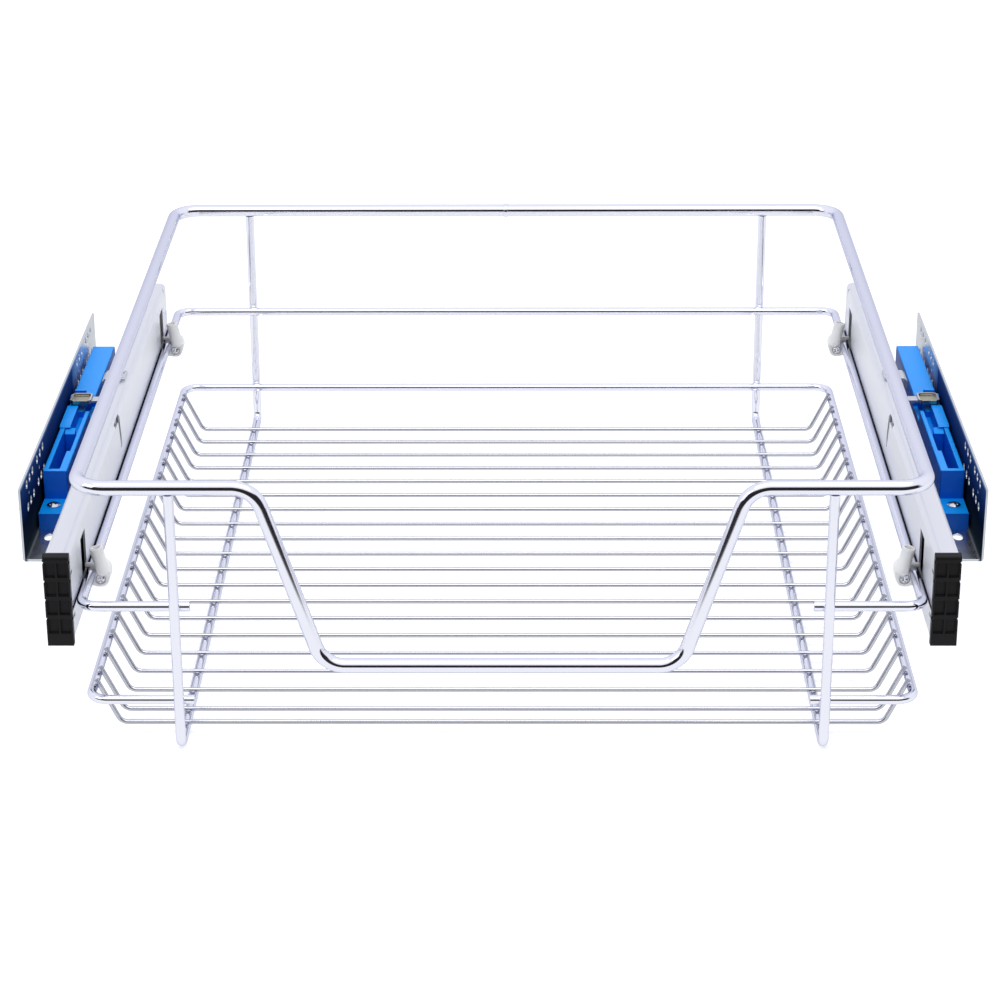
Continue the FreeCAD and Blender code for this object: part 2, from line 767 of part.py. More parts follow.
def housing():
    """Moulded housing: open track in front, pocket for damper and spring behind, a foot at each end."""
    x0 = unit_x - unit_width / 2
    x1 = unit_x + unit_width / 2
    foot_top = floor_top + foot_height
    cover_seat = unit_top - cover_sheet
    outline = [(unit_front_y, floor_top), (unit_front_y, foot_top), (body_front_y, foot_top),
               (body_front_y, unit_top), (track_back_y, unit_top), (track_back_y, cover_seat),
               (unit_back_y, cover_seat), (unit_back_y, foot_top),
               (unit_back_y + rear_foot_length, foot_top), (unit_back_y + rear_foot_length, floor_top)]
    solid = yz_prism(outline, x0, x1)
    tops = [edge for edge in solid.Edges if round_candidate(edge, x0, x1)]
    solid = solid.makeFillet(unit_edge, tops)
    inner = track_x - track_width / 2
    track = box_between(inner, inner + track_width, track_front_y, track_back_y, track_floor_z, unit_top + 1)
    gate = box_between(inner - track_gate_width, inner + 1, body_front_y + track_gate_start, track_back_y,
                       unit_top - track_gate_depth, unit_top + 1)
    strap_gate = box_between(x0 - 1, inner + 1, track_back_y - strap_gate_length, track_back_y,
                             unit_top - strap_gate_depth, unit_top + 1)
    pocket = box_between(track_x - pocket_width / 2, track_x + pocket_width / 2, pocket_front_y, pocket_back_y,
                         floor_top + pocket_floor, cover_seat + 1)
    rod_hole = flat_bar(rod + 4 * rod_clearance, vec(track_x, track_back_y - 1, damper_z),
                        vec(track_x, pocket_front_y + 1, damper_z))
    hook_hole = flat_bar(spring / 2, vec(track_x, track_back_y - 1, spring_z),
                         vec(track_x, pocket_front_y + 1, spring_z))
    shanks = [foot_screw_shank(y) for y in foot_screw_places()]
    return solid.cut([track, gate, strap_gate, pocket, rod_hole, hook_hole] + shanks)


def round_candidate(edge, x0, x1):
    """The upright edges at the ends and the long top edges of the housing's body."""
    box = edge.BoundBox
    side = abs(box.XMin - x0) < 1e-6 or abs(box.XMax - x1) < 1e-6
    across = box.XLength > 1e-6
    top_run = box.ZMin > unit_top - 1e-6 and box.YMin < track_back_y - 1
    front_upright = box.YLength < 1e-6 and abs(box.YMin - body_front_y) < 1e-6
    return side and not across and (top_run or front_upright)


def cover():
    """Flat lid over the damper and the spring."""
    x0 = unit_x - unit_width / 2
    solid = box_between(x0, x0 + unit_width, track_back_y, unit_back_y, unit_top - cover_sheet, unit_top)
    tops = [edge for edge in solid.Edges if edge.BoundBox.ZMin > unit_top - 1e-6]
    return solid.makeChamfer(unit_edge / 2, tops)


def claw():
    """Slider in the track: nose and head in front of the strap, neck under it and horn behind it."""
    x0 = track_x - track_width / 2 + claw_clearance
    x1 = track_x + track_width / 2 - claw_clearance
    low = track_floor_z + claw_lift
    neck = unit_top - claw_neck_drop
    horn_front = claw_back_y - claw_horn_length
    neck_front = horn_front - claw_neck_length
    head_front = neck_front - claw_head_length
    outline = [(claw_front_y, low), (claw_front_y, unit_top - claw_nose_drop),
               (claw_front_y + claw_ramp, unit_top - claw_lift), (neck_front, unit_top - claw_lift),
               (neck_front, neck), (horn_front, neck), (horn_front, horn_top), (claw_back_y, horn_top),
               (claw_back_y, low)]
    solid = yz_prism(outline, x0, x1)
    head_x = unit_x + unit_width / 2
    head = yz_prism([(head_front, unit_top + claw_lift), (head_front + horn_proud, horn_top), (neck_front, horn_top),
                     (neck_front, unit_top + claw_lift)], head_x - claw_head_width, head_x)
    bridge = box_between(head_x - claw_head_width, x1, head_front + horn_proud, neck_front, neck, horn_top)
    horn = box_between(head_x - claw_head_width, head_x + horn_overhang, horn_front, claw_back_y,
                       unit_top + claw_lift, horn_top)
    recess = box_between(x0 - 1, head_x - claw_head_width, claw_front_y + claw_ramp, neck_front + 1,
                         unit_top - claw_recess_drop, unit_top + 1)
    rod_seat = flat_bar(rod, vec(track_x, horn_front, damper_z), vec(track_x, claw_back_y + 1, damper_z))
    return solid.fuse([head, bridge, horn]).cut([recess, rod_seat]).removeSplitter()


def damper_rod():
    """Rod from the claw to the piston inside the cylinder."""
    bore = cylinder - 2 * cylinder_wall
    piston_back = cylinder_back_y - cylinder_wall - piston_rest_gap
    piston_front = piston_back - piston_length
    shaft = flat_bar(rod, vec(track_x, claw_back_y - claw_horn_length, damper_z), vec(track_x, piston_back, damper_z))
    piston = flat_bar(bore - 2 * piston_clearance, vec(track_x, piston_front, damper_z),
                      vec(track_x, piston_back, damper_z), wire_flat_count)
    return shaft.fuse(piston).removeSplitter()


def damper_cylinder():
    """Oil cylinder of the damper, closed at the back, with a guide for the rod in front."""
    front = vec(track_x, cylinder_front_y, damper_z)
    back = vec(track_x, cylinder_back_y, damper_z)
    tube = flat_bar(cylinder, front, back, wire_flat_count)
    bore = flat_bar(cylinder - 2 * cylinder_wall, front + vec(0, cylinder_end, 0), back - vec(0, cylinder_wall, 0),
                    wire_flat_count)
    guide = flat_bar(rod + 2 * rod_clearance, front, front + vec(0, cylinder_end + 1, 0))
    return tube.cut([bore, guide])


def return_spring():
    """Plain body of the closing spring, relaxed as the basket is shut."""
    back = vec(track_x, pocket_back_y - lip_gap, spring_z)
    return flat_bar(spring, back - vec(0, spring_length, 0), back, wire_flat_count)


# Strap that links the channel to the claw


def strap_rivet_places():
    x = channel_x + channel_depth / 2
    reach = strap_length / 2 - strap_rivet_inset
    return [vec(x, strap_y + side * reach, rail_height + runner_height / 2) for side in (-1, 1)]


def strap():
    """Bent strap from the channel's top, down and out over the soft-close unit, with raised rims."""
    half = strap_sheet / 2
    channel_top = rail_height + runner_height / 2
    leg_x = member_back_x + strap_leg_gap + half
    tray_x = unit_x + unit_width / 2 - unit_edge - strap_tray
    middle_x = tray_x + strap_tray / 2
    foot_x = channel_x + channel_depth - strap_foot
    corners = [(foot_x, channel_top + half), (leg_x, channel_top + half), (leg_x, strap_z + half),
               (middle_x, strap_z + half)]
    solid = along_y(sheet_section(corners, strap_sheet / 2, strap_sheet), strap_y - strap_length / 2, strap_length)
    for side in (-1, 1):
        near = strap_y + side * strap_arm_length / 2
        far = strap_y + side * (strap_length / 2 + 1)
        solid = solid.cut(box_between(leg_x - strap_sheet, middle_x + 1, min(near, far), max(near, far),
                                      strap_z - 1, channel_top - strap_shoulder))
    shanks = [flat_bar(strap_rivet, place, place + vec(0, 0, strap_sheet)) for place in strap_rivet_places()]
    return solid.cut(shanks).fuse(strap_tray_body(tray_x)).removeSplitter()


def strap_tray_body(tray_x):
    """Tray at the strap's end: a plate with its corners cut back and a rim."""
    front_y = strap_y - strap_length / 2
    plate = Part.makeBox(strap_tray, strap_length, strap_sheet + strap_rim, vec(tray_x, front_y, strap_z))
    uprights = [edge for edge in plate.Edges if edge.BoundBox.ZLength > strap_sheet]
    plate = plate.makeChamfer(strap_tray_corner, uprights)
    hollow = Part.makeBox(strap_tray - 2 * strap_rim_sheet, strap_length - 2 * strap_rim_sheet, strap_rim + 1,
                          vec(tray_x + strap_rim_sheet, front_y + strap_rim_sheet, strap_z + strap_sheet))
    uprights = [edge for edge in hollow.Edges if edge.BoundBox.ZLength > strap_rim]
    hollow = hollow.makeChamfer(strap_tray_corner - strap_rim_sheet / 2, uprights)
    return plate.cut(hollow)


def strap_rivets():
    solids = []
    for place in strap_rivet_places():
        top = place + vec(0, 0, strap_sheet)
        head = flat_bar(strap_rivet_head, top, top + vec(0, 0, strap_rivet_head_height))
        solids.append(flat_bar(strap_rivet, place, top).fuse(head))
    return Part.makeCompound(solids)


# All pieces by name


def sided(name, shape):
    return {"right_" + name: shape, "left_" + name: mirrored(shape)}


def main():
    windows = (front_window, back_window)
    pieces = {
        "top_wire_loop": top_loop(),
        "middle_wire": open_loop(middle_wire_x, middle_inset, middle_height, middle_corner, side_wire),
        "rim_wire": open_loop(rim_x, rim_inset, rim_height, rim_corner, rim_wire),
        "floor_wires": floor_wires(),
        "wire_clips": both_sides(Part.makeCompound([clip_bodies(window) for window in windows])),
        "clip_screws": both_sides(Part.makeCompound([clip_screw_bodies(window) for window in windows])),
        "strap_rivets": both_sides(strap_rivets()),
        "member_rivets": both_sides(rivets()),
        "unit_screws": both_sides(foot_screws()),
    }
    pieces.update(sided("leg_wire", leg_wire()))
    pieces.update(sided("channel", channel()))
    pieces.update(sided("end_cap", end_cap()))
    pieces.update(sided("strap", strap()))
    pieces.update(sided("middle_member", mid_member()))
    pieces.update(sided("outer_cage", outer_cage()))
    pieces.update(sided("outer_balls", balls(outer_ball_u, outer_ball_v)))
    pieces.update(sided("inner_cage", inner_cage()))
    pieces.update(sided("inner_balls", balls(inner_ball_u, inner_ball_v)))
    pieces.update(sided("fixed_member", fixed_member()))
    pieces.update(sided("bracket", bracket()))
    pieces.update(sided("housing", housing()))
    pieces.update(sided("cover", cover()))
    pieces.update(sided("claw", claw()))
    pieces.update(sided("damper_rod", damper_rod()))
    pieces.update(sided("damper_cylinder", damper_cylinder()))
    pieces.update(sided("spring", return_spring()))
    os.makedirs("parts", exist_ok=True)
    for name, shape in sorted(pieces.items()):
        solids = shape.Solids
        print(name, len(solids), "solids", round(shape.Volume, 1), "mm3", shape.isValid())
        shape.exportStep("parts/" + name + ".step")


main()
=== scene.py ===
import json
import math
import bmesh
import bpy
from mathutils import Matrix, Vector


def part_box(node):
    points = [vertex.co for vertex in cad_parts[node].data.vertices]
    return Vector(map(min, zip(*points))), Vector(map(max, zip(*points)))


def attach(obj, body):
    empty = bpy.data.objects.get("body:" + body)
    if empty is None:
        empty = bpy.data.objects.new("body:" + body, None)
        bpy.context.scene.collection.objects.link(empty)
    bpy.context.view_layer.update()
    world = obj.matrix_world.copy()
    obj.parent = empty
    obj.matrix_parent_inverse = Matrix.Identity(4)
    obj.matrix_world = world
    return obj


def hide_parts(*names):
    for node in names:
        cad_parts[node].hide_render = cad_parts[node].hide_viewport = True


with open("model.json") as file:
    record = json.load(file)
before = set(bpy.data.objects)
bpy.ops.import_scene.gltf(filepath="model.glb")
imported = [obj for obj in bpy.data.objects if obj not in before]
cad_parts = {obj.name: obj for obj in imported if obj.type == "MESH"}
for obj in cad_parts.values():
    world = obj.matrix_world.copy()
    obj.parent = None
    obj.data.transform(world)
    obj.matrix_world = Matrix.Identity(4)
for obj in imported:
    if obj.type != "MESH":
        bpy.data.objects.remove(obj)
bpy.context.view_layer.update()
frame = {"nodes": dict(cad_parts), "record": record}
mm = 0.001
print("frame loaded:", len(frame["nodes"]), "nodes")


# small tools used all through the script
def linear(hexText):
    parts = [int(hexText[i:i + 2], 16) / 255 for i in (1, 3, 5)]
    return [c / 12.92 if c <= 0.04045 else ((c + 0.055) / 1.055) ** 2.4 for c in parts] + [1.0]


def addNode(tree, kind, inputs=None, **settings):
    node = tree.nodes.new(kind)
    for name, value in settings.items():
        setattr(node, name, value)
    for socket, value in (inputs or {}).items():
        if isinstance(value, bpy.types.NodeSocket):
            tree.links.new(value, node.inputs[socket])
        else:
            node.inputs[socket].default_value = value
    return node


def newMaterial(name, inputs):
    material = bpy.data.materials.new(name)
    material.use_nodes = True
    tree = material.node_tree
    tree.nodes.clear()
    shader = addNode(tree, "ShaderNodeBsdfPrincipled", inputs)
    addNode(tree, "ShaderNodeOutputMaterial", {"Surface": shader.outputs["BSDF"]})
    return material, tree, shader


def addRelief(tree, shader, grainMm, heightMm, strength):
    # noise in real millimetres on Object coordinates, as a bump
    place = addNode(tree, "ShaderNodeTexCoord").outputs["Object"]
    noise = addNode(tree, "ShaderNodeTexNoise", {"Vector": place, "Scale": 1 / (grainMm * mm), "Detail": 3.0})
    bump = addNode(tree, "ShaderNodeBump",
                   {"Height": noise.outputs["Fac"], "Distance": heightMm * mm, "Strength": strength})
    tree.links.new(bump.outputs["Normal"], shader.inputs["Normal"])
    return noise


def dullWhere(tree, shader, share):
    # where the share is 1, the metal's own mirror gives way to a plain painted tone: the channel's painted
    # shade line and the bracket's painted reflection
    for socket, usual in (("Metallic", 1.0), ("Specular IOR Level", 0.5)):
        level = addNode(tree, "ShaderNodeMapRange", {"Value": share, "To Min": usual, "To Max": 0.0})
        tree.links.new(level.outputs["Result"], shader.inputs[socket])


def shareOf(tree, fades):
    # 1 where every fade is 1: each is a value, a place, and the fade's start and end from it in millimetres
    share = 1.0
    for value, place, (start, end) in fades:
        fade = addNode(tree, "ShaderNodeMapRange", {
            "Value": value, "From Min": (place + start) * mm, "From Max": (place + end) * mm})
        share = addNode(tree, "ShaderNodeMath", {0: share, 1: fade.outputs["Result"]},
                        operation="MULTIPLY").outputs["Value"]
    return share


def setRamp(node, tones):
    stops = node.color_ramp.elements
    (stops[0].position, first), (stops[1].position, last) = tones[0], tones[-1]
    stops[0].color, stops[1].color = linear(first), linear(last)
    for place, tone in tones[1:-1]:
        stops.new(place).color = linear(tone)


def addRoughRange(tree, shader, noise, low, high):
    # the same noise makes the gloss a little uneven
    spread = addNode(tree, "ShaderNodeMapRange", {
        "Value": noise.outputs["Fac"], "From Min": 0.3, "From Max": 0.7, "To Min": low, "To Max": high})
    tree.links.new(spread.outputs["Result"], shader.inputs["Roughness"])


def paintWhere(tree, shader, share, plain, painted):
    # the plain tone where the share is 0, the painted one where it is 1
    mixed = addNode(tree, "ShaderNodeMix", {0: share, 6: plain, 7: painted}, data_type="RGBA")
    tree.links.new(mixed.outputs[2], shader.inputs["Base Color"])


def ownPlace(tree):
    # the piece's own X, Y and Z, and how far across from the basket's middle
    place = addNode(tree, "ShaderNodeTexCoord").outputs["Object"]
    parts = addNode(tree, "ShaderNodeSeparateXYZ", {"Vector": place}).outputs
    across = addNode(tree, "ShaderNodeMath", {0: parts["X"]}, operation="ABSOLUTE").outputs["Value"]
    return parts, across


# materials, each named for the stuff and the way it was made
def chromePlatedWire():
    # drawn steel wire under bright chrome: a clean lavender mirror, greyer at its edges, faintly wavy
    material, tree, shader = newMaterial("chromePlatedWire", {
        "Base Color": linear("#EFF0FA"), "Metallic": 1.0, "Roughness": 0.09,
        "Specular Tint": linear("#D4D6E4")})
    addRelief(tree, shader, 5.0, 0.02, 0.3)
    return material


def chromeThinWireWithPaintedShade():
    # painted shade: the thin floor wires low under the basket get a greyer, darker copy of the chrome, and
    # they are a little duller
    material, tree, shader = newMaterial("chromeThinWireWithPaintedShade", {
        "Base Color": linear("#C4C5CD"), "Metallic": 1.0, "Roughness": 0.15,
        "Specular Tint": linear("#A9AAB6")})
    addRelief(tree, shader, 3.0, 0.02, 0.3)
    return material


def brightZinc(name, roughness):
    # cold rolled strip, bright zinc: soft silvery grey with a faint cloudiness
    material, tree, shader = newMaterial(name, {"Base Color": linear("#D3D6DC"), "Metallic": 1.0})
    noise = addRelief(tree, shader, 6.0, 0.004, 0.15)
    addRoughRange(tree, shader, noise, *roughness)
    return material, tree, shader


def zincPlatedSheet():
    # the inner members' zinc, plain
    return brightZinc("zincPlatedSheet", (0.3, 0.38))[0]


def zincChannelWithPaintedShade():
    # the channel's zinc, with a painted shade line, dark and without gloss, where the middle wire lies
    # against the web
    line = {"web": (0.3, 0.05), "above": (1.9, 1.1), "below": (-1.5, -0.5), "zinc": "#E6E8EE",
            "dark": "#16161B"}
    material, tree, shader = brightZinc("zincChannelWithPaintedShade", (0.32, 0.4))
    parts, across = ownPlace(tree)
    webX = abs(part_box("right_channel")[0].x) / mm
    wireZ = sum(corner.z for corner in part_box("middle_wire")) / 2 / mm
    # painted shade: a dark band on the web's face towards the basket, from just under the middle wire's
    # centre to just above it
    share = shareOf(tree, [(across, webX, line["web"]), (parts["Z"], wireZ, line["above"]),
                           (parts["Z"], wireZ, line["below"])])
    paintWhere(tree, shader, share, linear(line["zinc"]), linear(line["dark"]))
    dullWhere(tree, shader, share)
    return material


def zincStrapWithPaintedShade():
    # the strap's zinc is bright, and the hollow of its tray is painted darker and brownish as shade
    trayShade = {"inner": (-10.3, -10.1), "outer": (-1.0, -1.2), "below": (-0.25, -0.6), "zinc": "#CDD0D6",
            "paintedShade": "#A5A290"}
    material, tree, shader = brightZinc("zincStrapWithPaintedShade", (0.26, 0.34))
    parts, across = ownPlace(tree)
    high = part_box("right_strap")[1] / mm
    # painted shade: the tray's hollow, inside its rims and below its top, is darker
    share = shareOf(tree, [(across, high.x, trayShade["inner"]), (across, high.x, trayShade["outer"]),
                           (parts["Z"], high.z, trayShade["below"])])
    paintWhere(tree, shader, share, linear(trayShade["zinc"]), linear(trayShade["paintedShade"]))
    return material


def zincBracketWithPaintedReflection():
    # the same zinc, but on the tall wall's inner face a painted reflection of the dark blue unit beside it:
    # dark low down, bluer higher up and pale at the top edge, fading out towards the back
    paintedReflection = {"face": (-1.0, -1.14), "wall": (-3.0, -1.6), "behind": (78, 40), "zinc": "#CDD1D6",
              "tones": [(0.0, "#3A4752"), (0.12, "#222D38"), (0.45, "#0E1C36"), (0.7, "#142E66"),
                        (0.95, "#26447C"), (1.0, "#8298C2")]}
    material, tree, shader = brightZinc("zincBracketWithPaintedReflection", (0.26, 0.34))
    parts, across = ownPlace(tree)
    low, high = (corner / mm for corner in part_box("right_bracket"))
    # painted reflection: the wall's inner face in front takes the ramp's dark blue tones by height, with the
    # metal's own gloss taken away
    share = shareOf(tree, [(across, high.x, paintedReflection["face"]), (across, high.x, paintedReflection["wall"]),
                           (parts["Y"], 0, paintedReflection["behind"])])
    climb = shareOf(tree, [(parts["Z"], low.z, (0, high.z - low.z))])
    tones = addNode(tree, "ShaderNodeValToRGB", {"Fac": climb})
    setRamp(tones, paintedReflection["tones"])
    paintWhere(tree, shader, share, linear(paintedReflection["zinc"]), tones.outputs["Color"])
    dullWhere(tree, shader, share)
    return material


def bareSteelStrip():
    # oiled strip of the ball cages: darker and duller than the zinc
    material, tree, shader = newMaterial("bareSteelStrip", {
        "Base Color": linear("#A9ABAE"), "Metallic": 1.0, "Roughness": 0.38})
    addRelief(tree, shader, 0.8, 0.01, 0.3)
    return material


def darkStripAsPaintedShade():
    # near-black steel as painted shade: the strip behind the channel's windows is made dark so that the
    # windows look black
    material, tree, shader = newMaterial("darkStripAsPaintedShade", {
        "Base Color": linear("#26272B"), "Metallic": 1.0, "Roughness": 0.42})
    addRelief(tree, shader, 0.8, 0.01, 0.3)
    return material


def groundBallSteel():
    # ground and lapped: a hard clean mirror
    return newMaterial("groundBallSteel", {
        "Base Color": linear("#DADBDE"), "Metallic": 1.0, "Roughness": 0.08})[0]


def zincPlatedScrew():
    # cold headed and zinc plated: bright with a soft edge to its reflections
    material, tree, shader = newMaterial("zincPlatedScrew", {
        "Base Color": linear("#D9DADF"), "Metallic": 1.0, "Roughness": 0.14})
    addRelief(tree, shader, 0.7, 0.01, 0.3)
    return material


def blueMouldedAbsWithPaintedLight():
    # injection moulded ABS, dyed through: saturated satin blue, with painted light and shade: paler and more
    # cyan on faces that look up, deeper on its upright faces
    material, tree, shader = newMaterial("blueMouldedAbsWithPaintedLight", {
        "Roughness": 0.36, "IOR": 1.53, "Specular IOR Level": 0.25})
    # painted light and shade: the blue goes by how far each face looks up
    facing = addNode(tree, "ShaderNodeSeparateXYZ", {
        "Vector": addNode(tree, "ShaderNodeTexCoord").outputs["Normal"]}).outputs["Z"]
    level = addNode(tree, "ShaderNodeMapRange", {"Value": facing, "From Min": 0.2, "From Max": 0.8})
    paintWhere(tree, shader, level.outputs["Result"], linear("#0064DA"), linear("#009CFF"))
    noise = addRelief(tree, shader, 0.5, 0.015, 0.35)
    addRoughRange(tree, shader, noise, 0.32, 0.44)
    return material


def blackMouldedPolypropylene():
    # moulded polypropylene: near black, with the soft sheen of a fine grained mould
    material, tree, shader = newMaterial("blackMouldedPolypropylene", {
        "Base Color": linear("#08080C"), "Roughness": 0.5, "IOR": 1.49, "Specular IOR Level": 0.28})
    addRelief(tree, shader, 0.5, 0.03, 0.5)
    return material


def milkyMouldedPolypropylene():
    # natural polypropylene: lets light through and scatters it, so that edges glow white
    material, tree, shader = newMaterial("milkyMouldedPolypropylene", {
        "Base Color": linear("#F3F4F2"), "Roughness": 0.28, "IOR": 1.49, "Transmission Weight": 0.12,
        "Subsurface Weight": 0.5, "Subsurface Radius": (0.004, 0.004, 0.0038), "Subsurface Scale": 1.0})
    addRelief(tree, shader, 1.5, 0.02, 0.3)
    return material


finishes = {
    "plated_wire": chromePlatedWire(),
    "runner_steel": zincPlatedSheet(),
    "cage_steel": bareSteelStrip(),
    "blackened_steel": darkStripAsPaintedShade(),
    "ball_steel": groundBallSteel(),
    "screw_steel": zincPlatedScrew(),
    "blue_plastic": blueMouldedAbsWithPaintedLight(),
    "black_plastic": blackMouldedPolypropylene(),
    "clear_plastic": milkyMouldedPolypropylene(),
}
# these pieces wear their own kind of their slot's finish, with painted light in it: painted shade on the
# floor wires, the channel and the strap, a painted reflection on the bracket
finishWithPaintedLight = {
    "floor_wires": chromeThinWireWithPaintedShade(),
    "bracket": zincBracketWithPaintedReflection(),
    "channel": zincChannelWithPaintedShade(),
    "strap": zincStrapWithPaintedShade(),
}
slotOf = {row["node"]: row["material_slot"] for row in frame["record"]["subparts"]}
bodyOf = {node: body for body, nodes in frame["record"]["behaviour"]["bodies"].items() for node in nodes}
for nodeName, nodeObject in frame["nodes"].items():
    nodeObject.data.materials.clear()
    nodeObject.data.materials.append(finishes[slotOf[nodeName]])
print("materials made:", len(finishes) + len(finishWithPaintedLight))


def settle(piece, name, cadNodes, stands=True):
    # the finished piece rides on its nodes' body and stands for them
    piece.name = name
    piece.data.name = name
    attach(piece, bodyOf[cadNodes[0]])
    if stands:
        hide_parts(*cadNodes)


def linkMesh(name, mesh):
    piece = bpy.data.objects.new(name, mesh)
    bpy.context.scene.collection.objects.link(piece)
    return piece


def bakeModifiers(piece):
    bpy.context.view_layer.update()
    solved = piece.evaluated_get(bpy.context.evaluated_depsgraph_get())
    mesh = bpy.data.meshes.new_from_object(solved)
    piece.modifiers.clear()
    piece.data = mesh
    return piece


roundBelow = 30  # degrees: a gentler fold is part of a round, a sharper one is an edge


def soften(piece, edge, foldAngle=roundBelow, segments=2):
    bevel = piece.modifiers.new("softEdge", "BEVEL")
    bevel.width = edge
    bevel.segments = segments
    bevel.limit_method = "ANGLE"
    bevel.angle_limit = math.radians(foldAngle)
    weighted = piece.modifiers.new("flatFaces", "WEIGHTED_NORMAL")
    weighted.keep_sharp = True
    bakeModifiers(piece)


def faceOutwards(mesh):
    shape = bmesh.new()
    shape.from_mesh(mesh)
    bmesh.ops.remove_doubles(shape, verts=shape.verts, dist=1e-7)
    bmesh.ops.recalc_face_normals(shape, faces=shape.faces)
    shape.to_mesh(mesh)
    shape.free()


# wires: one tree bends and thickens every route
def makeTree(name, inputs):
    tree = bpy.data.node_groups.new(name, "GeometryNodeTree")
    tree.interface.new_socket(name="Geometry", in_out="INPUT", socket_type="NodeSocketGeometry")
    for label, kind in inputs.items():
        tree.interface.new_socket(name=label, in_out="INPUT", socket_type=kind)
    tree.interface.new_socket(name="Geometry", in_out="OUTPUT", socket_type="NodeSocketGeometry")
    return tree, addNode(tree, "NodeGroupInput").outputs


def addTree(piece, tree, values):
    modifier = piece.modifiers.new(tree.name, "NODES")
    modifier.node_group = tree
    for item in tree.interface.items_tree:
        if item.in_out == "INPUT" and item.name in values:
            modifier[item.identifier] = values[item.name]


def finishTree(tree, geometry, given):
    real = addNode(tree, "GeometryNodeRealizeInstances", {"Geometry": geometry})
    done = addNode(tree, "GeometryNodeSetMaterial",
                   {"Geometry": real.outputs["Geometry"], "Material": given["Finish"]})
    addNode(tree, "NodeGroupOutput", {"Geometry": done.outputs["Geometry"]})
    return tree


def smoothRound(tree, geometry, degrees=35):
    # smooth all over, but for the edges that fold by more than this
    angle = addNode(tree, "GeometryNodeInputMeshEdgeAngle").outputs["Unsigned Angle"]
    gentle = addNode(tree, "FunctionNodeCompare", {0: angle, 1: math.radians(degrees)}, operation="LESS_THAN")
    smooth = addNode(tree, "GeometryNodeSetShadeSmooth", {"Geometry": geometry}).outputs["Geometry"]
    edged = addNode(tree, "GeometryNodeSetShadeSmooth",
                    {"Geometry": smooth, "Shade Smooth": gentle.outputs["Result"]}, domain="EDGE")
    return edged.outputs["Geometry"]


def bentRoute(tree, given):
    # the route's corners, each rounded to its own bend radius
    route = addNode(tree, "GeometryNodeMeshToCurve", {"Mesh": given["Geometry"]})
    bend = addNode(tree, "GeometryNodeInputNamedAttribute", {"Name": "bend"}, data_type="FLOAT")
    return addNode(tree, "GeometryNodeFilletCurve",
                   {"Curve": route.outputs["Curve"], "Count": given["Bend steps"],
                    "Radius": bend.outputs["Attribute"], "Limit Radius": True}, mode="POLY")


def bentWireTree():
    tree, given = makeTree("bentWire", {
        "Wire diameter": "NodeSocketFloat", "Sides round": "NodeSocketInt", "Bend steps": "NodeSocketInt",
        "Finish": "NodeSocketMaterial"})
    bent = bentRoute(tree, given)
    radius = addNode(tree, "ShaderNodeMath", {0: given["Wire diameter"], 1: 0.5}, operation="MULTIPLY")
    ring = addNode(tree, "GeometryNodeCurvePrimitiveCircle",
                   {"Resolution": given["Sides round"], "Radius": radius.outputs["Value"]}, mode="RADIUS")
    tube = addNode(tree, "GeometryNodeCurveToMesh",
                   {"Curve": bent.outputs["Curve"], "Profile Curve": ring.outputs["Curve"],
                    "Fill Caps": True})
    return finishTree(tree, tube.outputs["Mesh"], given)


wireTree = bentWireTree()


def routeMesh(name, routes, closed=False):
    # routes are lists of (x, y, z, bend radius), all in metres
    points = [point for route in routes for point in route]
    edges = []
    start = 0
    for route in routes:
        edges += [(start + i, start + i + 1) for i in range(len(route) - 1)]
        if closed:
            edges.append((start + len(route) - 1, start))
        start += len(route)
    mesh = bpy.data.meshes.new(name)
    mesh.from_pydata([point[:3] for point in points], edges, [])
    bends = mesh.attributes.new("bend", "FLOAT", "POINT")
    bends.data.foreach_set("value", [point[3] for point in points])
    return mesh


def thickenRoutes(name, routes, diameter, closed, sides, steps, finish):
    piece = linkMesh(name, routeMesh(name, routes, closed))
    addTree(piece, wireTree, {"Wire diameter": diameter, "Sides round": sides, "Bend steps": steps,
                              "Finish": finish})
    return bakeModifiers(piece)


def bendWires(name, routes, diameter, cadNode, closed=False, sides=32, steps=14):
    piece = thickenRoutes(name, routes, diameter, closed, sides, steps,
                          finishWithPaintedLight.get(cadNode, finishes["plated_wire"]))
    faceOutwards(piece.data)
    for face in piece.data.polygons:
        face.use_smooth = len(face.vertices) == 4
    settle(piece, name, [cadNode])


wires = {
    "top": 7.0 * mm, "bead": 7.7 * mm, "side": 4.8 * mm, "rim": 4.5 * mm, "cross": 2.3 * mm,
    "topBend": 14 * mm, "middleBend": 7.5 * mm, "rimBend": 8.5 * mm, "legBend": 5.5 * mm,
    "crossBend": 5 * mm, "beadLong": 2.4 * mm, "dipTopHalf": 111.9 * mm, "dipBottomHalf": 82.8 * mm,
    "endPastLeg": 6.7 * mm, "crossInset": 12.3 * mm, "crossPitch": 20 * mm, "crossPastRim": 2.8 * mm,
    "weldSink": 0.25 * mm,
}


def middleOf(node, diameter):
    # the wire's centre line box
    low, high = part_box(node)
    return low + Vector([diameter / 2] * 3), high - Vector([diameter / 2] * 3)


def topMiddle():
    # the node's highest place is the weld's bead, not the wire
    low, high = middleOf("top_wire_loop", wires["top"])
    high.z -= (wires["bead"] - wires["top"]) / 2
    return low, high


def topWire():
    # a closed loop, with the handle's dip in the middle of the front
    low, high = topMiddle()
    bend = wires["topBend"]
    right = [(high.x, high.y, high.z, bend), (high.x, low.y, high.z, bend),
             (wires["dipTopHalf"], low.y, high.z, bend), (wires["dipBottomHalf"], low.y, low.z, bend)]
    left = [(-x, y, z, r) for x, y, z, r in reversed(right)]
    bendWires("topWire", [right + left], wires["top"], "top_wire_loop", closed=True, sides=40, steps=18)


